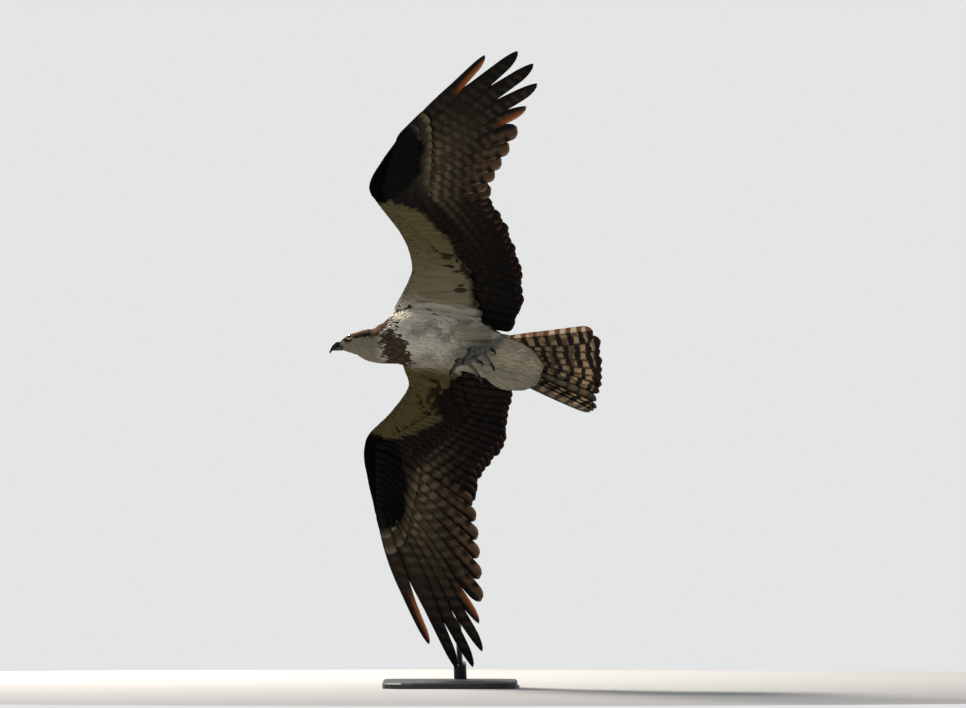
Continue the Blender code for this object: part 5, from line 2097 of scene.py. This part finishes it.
BILL_UPPER = ((-10, 0, 2.5, 8.0, 7.5), (-22, 0, 3.0, 8.0, 7.2), (-31, 0, 1.5, 6.6, 6.4),
              (-38, 0, -2.5, 4.8, 5.2), (-42.5, 0, -8.0, 3.0, 3.6), (-44.5, 0, -13.0, 1.5, 1.9),
              (-44.8, 0, -17.0, 0.4, 0.5))
BILL_LOWER = ((-10, 0, -6.0, 7.0, 3.4), (-22, 0, -6.2, 6.6, 3.2), (-31, 0, -6.8, 4.8, 2.6),
              (-36, 0, -8.0, 2.6, 1.6), (-38.2, 0, -8.8, 0.8, 0.6))


@dataclass(frozen=True)
class Bill:
    """Hooked bill in two halves with a blue-grey cere at its base."""

    segments: int = 28

    def build(self) -> None:
        """Build both halves."""
        material = HornFinish("bill_horn").material()
        for name, rows, node in (("beak_upper", BILL_UPPER, "bill_upper"),
                                 ("beak_lower", BILL_LOWER, "bill_lower")):
            loft = Loft(self.segments)
            loft.ovals(smooth_rows(rows, 8), Matrix())
            mesh = loft.mesh(name)
            x = np.array([v.co.x for v in mesh.vertices])
            share = ease(x, -27.0, -20.0)
            set_tint(mesh, "Plume", np.stack([share, share, share], axis=1))
            place_solid(name, mesh, HEAD.matrix(), material, "horn", node)


@dataclass(frozen=True)
class Leg:
    """Bare scaly shank, four padded toes and their hooked claws."""

    side: Side
    ankle: tuple[float, float, float]
    base: tuple[float, float, float]
    toe: float = 4.3
    lengths: tuple[float, ...] = (36.0, 42.0, 38.0, 30.0)
    headings: tuple[float, ...] = (-32.0, 12.0, 140.0, -150.0)
    claw: float = 24.0

    def toe_points(self, number: int, forward: Vector, down: Vector) -> tuple[list[Vector], Vector]:
        """Middle line of one toe and the way its end points.

        Args:
            number: which toe.
            forward: the way the foot points.
            down: the way its sole faces.

        Returns:
            Points of the line and the direction at its end.
        """
        base = Vector(self.base)
        length = self.lengths[number]
        spread = Matrix.Rotation(math.radians(self.headings[number]), 3, down) @ forward
        first = base + spread * length * 0.5 + down * length * 0.08
        bend = (spread * 0.62 + down * 0.78).normalized()
        second = first + bend * length * 0.5
        return [base, first, second], (spread * 0.15 + down * 0.99).normalized()

    def build(self) -> None:
        """Build the foot and its claws."""
        word = self.side.name.lower()
        ankle, base = Vector(self.ankle), Vector(self.base)
        forward = Vector((-1.0, 0.0, -0.25)).normalized()
        down = Vector((0.0, 0.15, -1.0))
        down = (down - forward * down.dot(forward)).normalized()
        foot = Loft(16)
        top = ankle - (base - ankle) * 0.1
        shank = [(*top, 6.4, 6.4), (*ankle.lerp(base, 0.25), 5.2, 5.2), (*ankle.lerp(base, 0.6), 4.9, 4.9),
                 (*base, 6.6, 6.2), (*(base + (base - ankle) * 0.09), 5.0, 5.0)]
        foot.ovals(smooth_rows(shank, 5), Matrix())
        horn = HornFinish("claw_horn").material()
        for number in range(4):
            line, end = self.toe_points(number, forward, down)
            points = smooth_rows(tuple(tuple(p) for p in line), 8)
            t = np.linspace(0.0, 1.0, len(points))
            pads = self.toe * (1.12 - 0.26 * t + 0.1 * np.cos(t * math.tau * 3.0))
            foot.ovals(np.column_stack([points, pads, pads]), Matrix())
            along = (line[2] - line[1]).normalized()
            start = line[2] - along * 1.0
            middle = start + (along * 0.75 + end * 0.25).normalized() * self.claw * 0.4
            far = middle + (end * 0.9 - along * 0.1).normalized() * self.claw * 0.45
            last = far + (end * 0.5 - along * 0.6).normalized() * self.claw * 0.25
            rows = [(*start, 3.3, 3.3), (*(start + along * 2.0), 3.2, 3.2), (*middle, 2.6, 2.6),
                    (*far, 1.6, 1.6), (*last, 0.3, 0.3)]
            side = along.cross(end)
            side = side.normalized() if side.length > 0.05 else Vector((0.0, 1.0, 0.0))
            claw = Loft(14)
            claw.ovals(smooth_rows(tuple(rows), 6), Matrix(), side)
            name = f"talon_{word}_{number + 1}"
            mesh = claw.mesh(name)
            set_tint(mesh, "Plume", np.zeros((len(mesh.vertices), 3)))
            place_solid(name, mesh, Matrix(), horn, "horn", f"claw_{word}_{number + 1}")
        name = f"toes_{word}"
        place_solid(name, foot.mesh(name), Matrix(), ScaleFinish().material(), "foot_skin", f"foot_{word}")


LEGS = (Leg(Side.LEFT, (122.0, -42.0, -64.0), (80.0, -20.0, -90.0)),
        Leg(Side.RIGHT, (96.0, -16.0, -68.0), (57.0, 6.0, -94.0)))


@dataclass(frozen=True)
class Stand:
    """Finishes of the stand's base and rod, which keep their own solids."""

    def build(self) -> None:
        """Give both solids their finish."""
        for node, finish in (("stand_base", PaintFinish()), ("stand_rod", RodFinish())):
            solid = bpy.data.objects[node]
            solid.data.materials.clear()
            solid.data.materials.append(finish.material())


@dataclass(frozen=True)
class Studio:
    """Pale plain room, soft light from above and behind, and the camera at the photo's angle."""

    distance: float = 40.0
    view_width: float = 1.932
    aim: tuple[float, float, float] = (0.066, -0.14, 0.668)
    floor_radius: float = 2.2
    wall: str = "#e4e5e5"
    glow: str = "#e8ecf2"
    glow_strength: float = 0.33
    lamps: tuple[tuple, ...] = (("key", (-1.6, 2.4, 3.4), 1.2, 380.0, "#fff6ea"),
                                ("fill", (-2.2, -3.2, 1.6), 3.0, 22.0, "#f4f6ff"))

    def build(self) -> None:
        """Place the floor, the light and the camera."""
        self.floor()
        self.world()
        for lamp in self.lamps:
            self.lamp(*lamp)
        data = bpy.data.cameras.new("camera")
        data.lens = data.sensor_width * self.distance / self.view_width
        data.clip_end = self.distance * 2.0
        camera = new_object("camera", data)
        camera.location = (self.aim[0], self.aim[1] - self.distance, self.aim[2])
        camera.rotation_euler = (math.radians(90.0), 0.0, 0.0)
        bpy.context.scene.camera = camera
        bpy.context.scene.view_settings.view_transform = "Standard"

    def floor(self) -> None:
        """Lay a pale matt floor disc."""
        bm = bmesh.new()
        bmesh.ops.create_circle(bm, cap_ends=True, segments=96, radius=self.floor_radius)
        mesh = to_mesh(bm, "floor")
        mesh.materials.append(PaperFinish().material())
        disc = new_object("floor", mesh)

    def world(self) -> None:
        """Fill the room with soft light that is weaker than the pale wall looks."""
        world = bpy.data.worlds.new("room")
        bpy.context.scene.world = world
        world.use_nodes = True
        world.node_tree.nodes.clear()
        add = partial(add_node, world.node_tree)
        wall = add("Background", self.wall, 1.0)
        glow = add("Background", self.glow, self.glow_strength)
        add("OutputWorld", add("MixShader", add("LightPath", output="Is Camera Ray"), glow, wall))

    def lamp(self, name: str, place: tuple[float, float, float], size: float, watts: float,
             colour: str) -> None:
        """Hang one soft square lamp that faces the bird.

        Args:
            name: name of the lamp.
            place: where it hangs, in metres.
            size: length of its sides.
            watts: power.
            colour: hex colour of its light.
        """
        data = bpy.data.lights.new(name, "AREA")
        data.size = size
        data.energy = watts
        data.color = linear(colour)[:3]
        lamp = new_object(name, data)
        lamp.location = place
        lamp.rotation_euler = (Vector(self.aim) - Vector(place)).to_track_quat("-Z", "Y").to_euler()


def main() -> None:
    """Build the bird's looks, the stand's finish and the studio."""
    logging.basicConfig(level=logging.INFO, format="%(message)s")
    skin = Skin()
    skin.build()
    skin.dress(MARKINGS.hide)
    BodyCoat(skin).build()
    for plan in WINGS:
        WingQuills(plan).build()
        WingCoat(plan, skin).build()
    Tail().build()
    Bill().build()
    for side in Side:
        Eye(side).build()
    for part in (*LEGS, Stand(), Studio()):
        part.build()


if __name__ == "__main__":
    main()
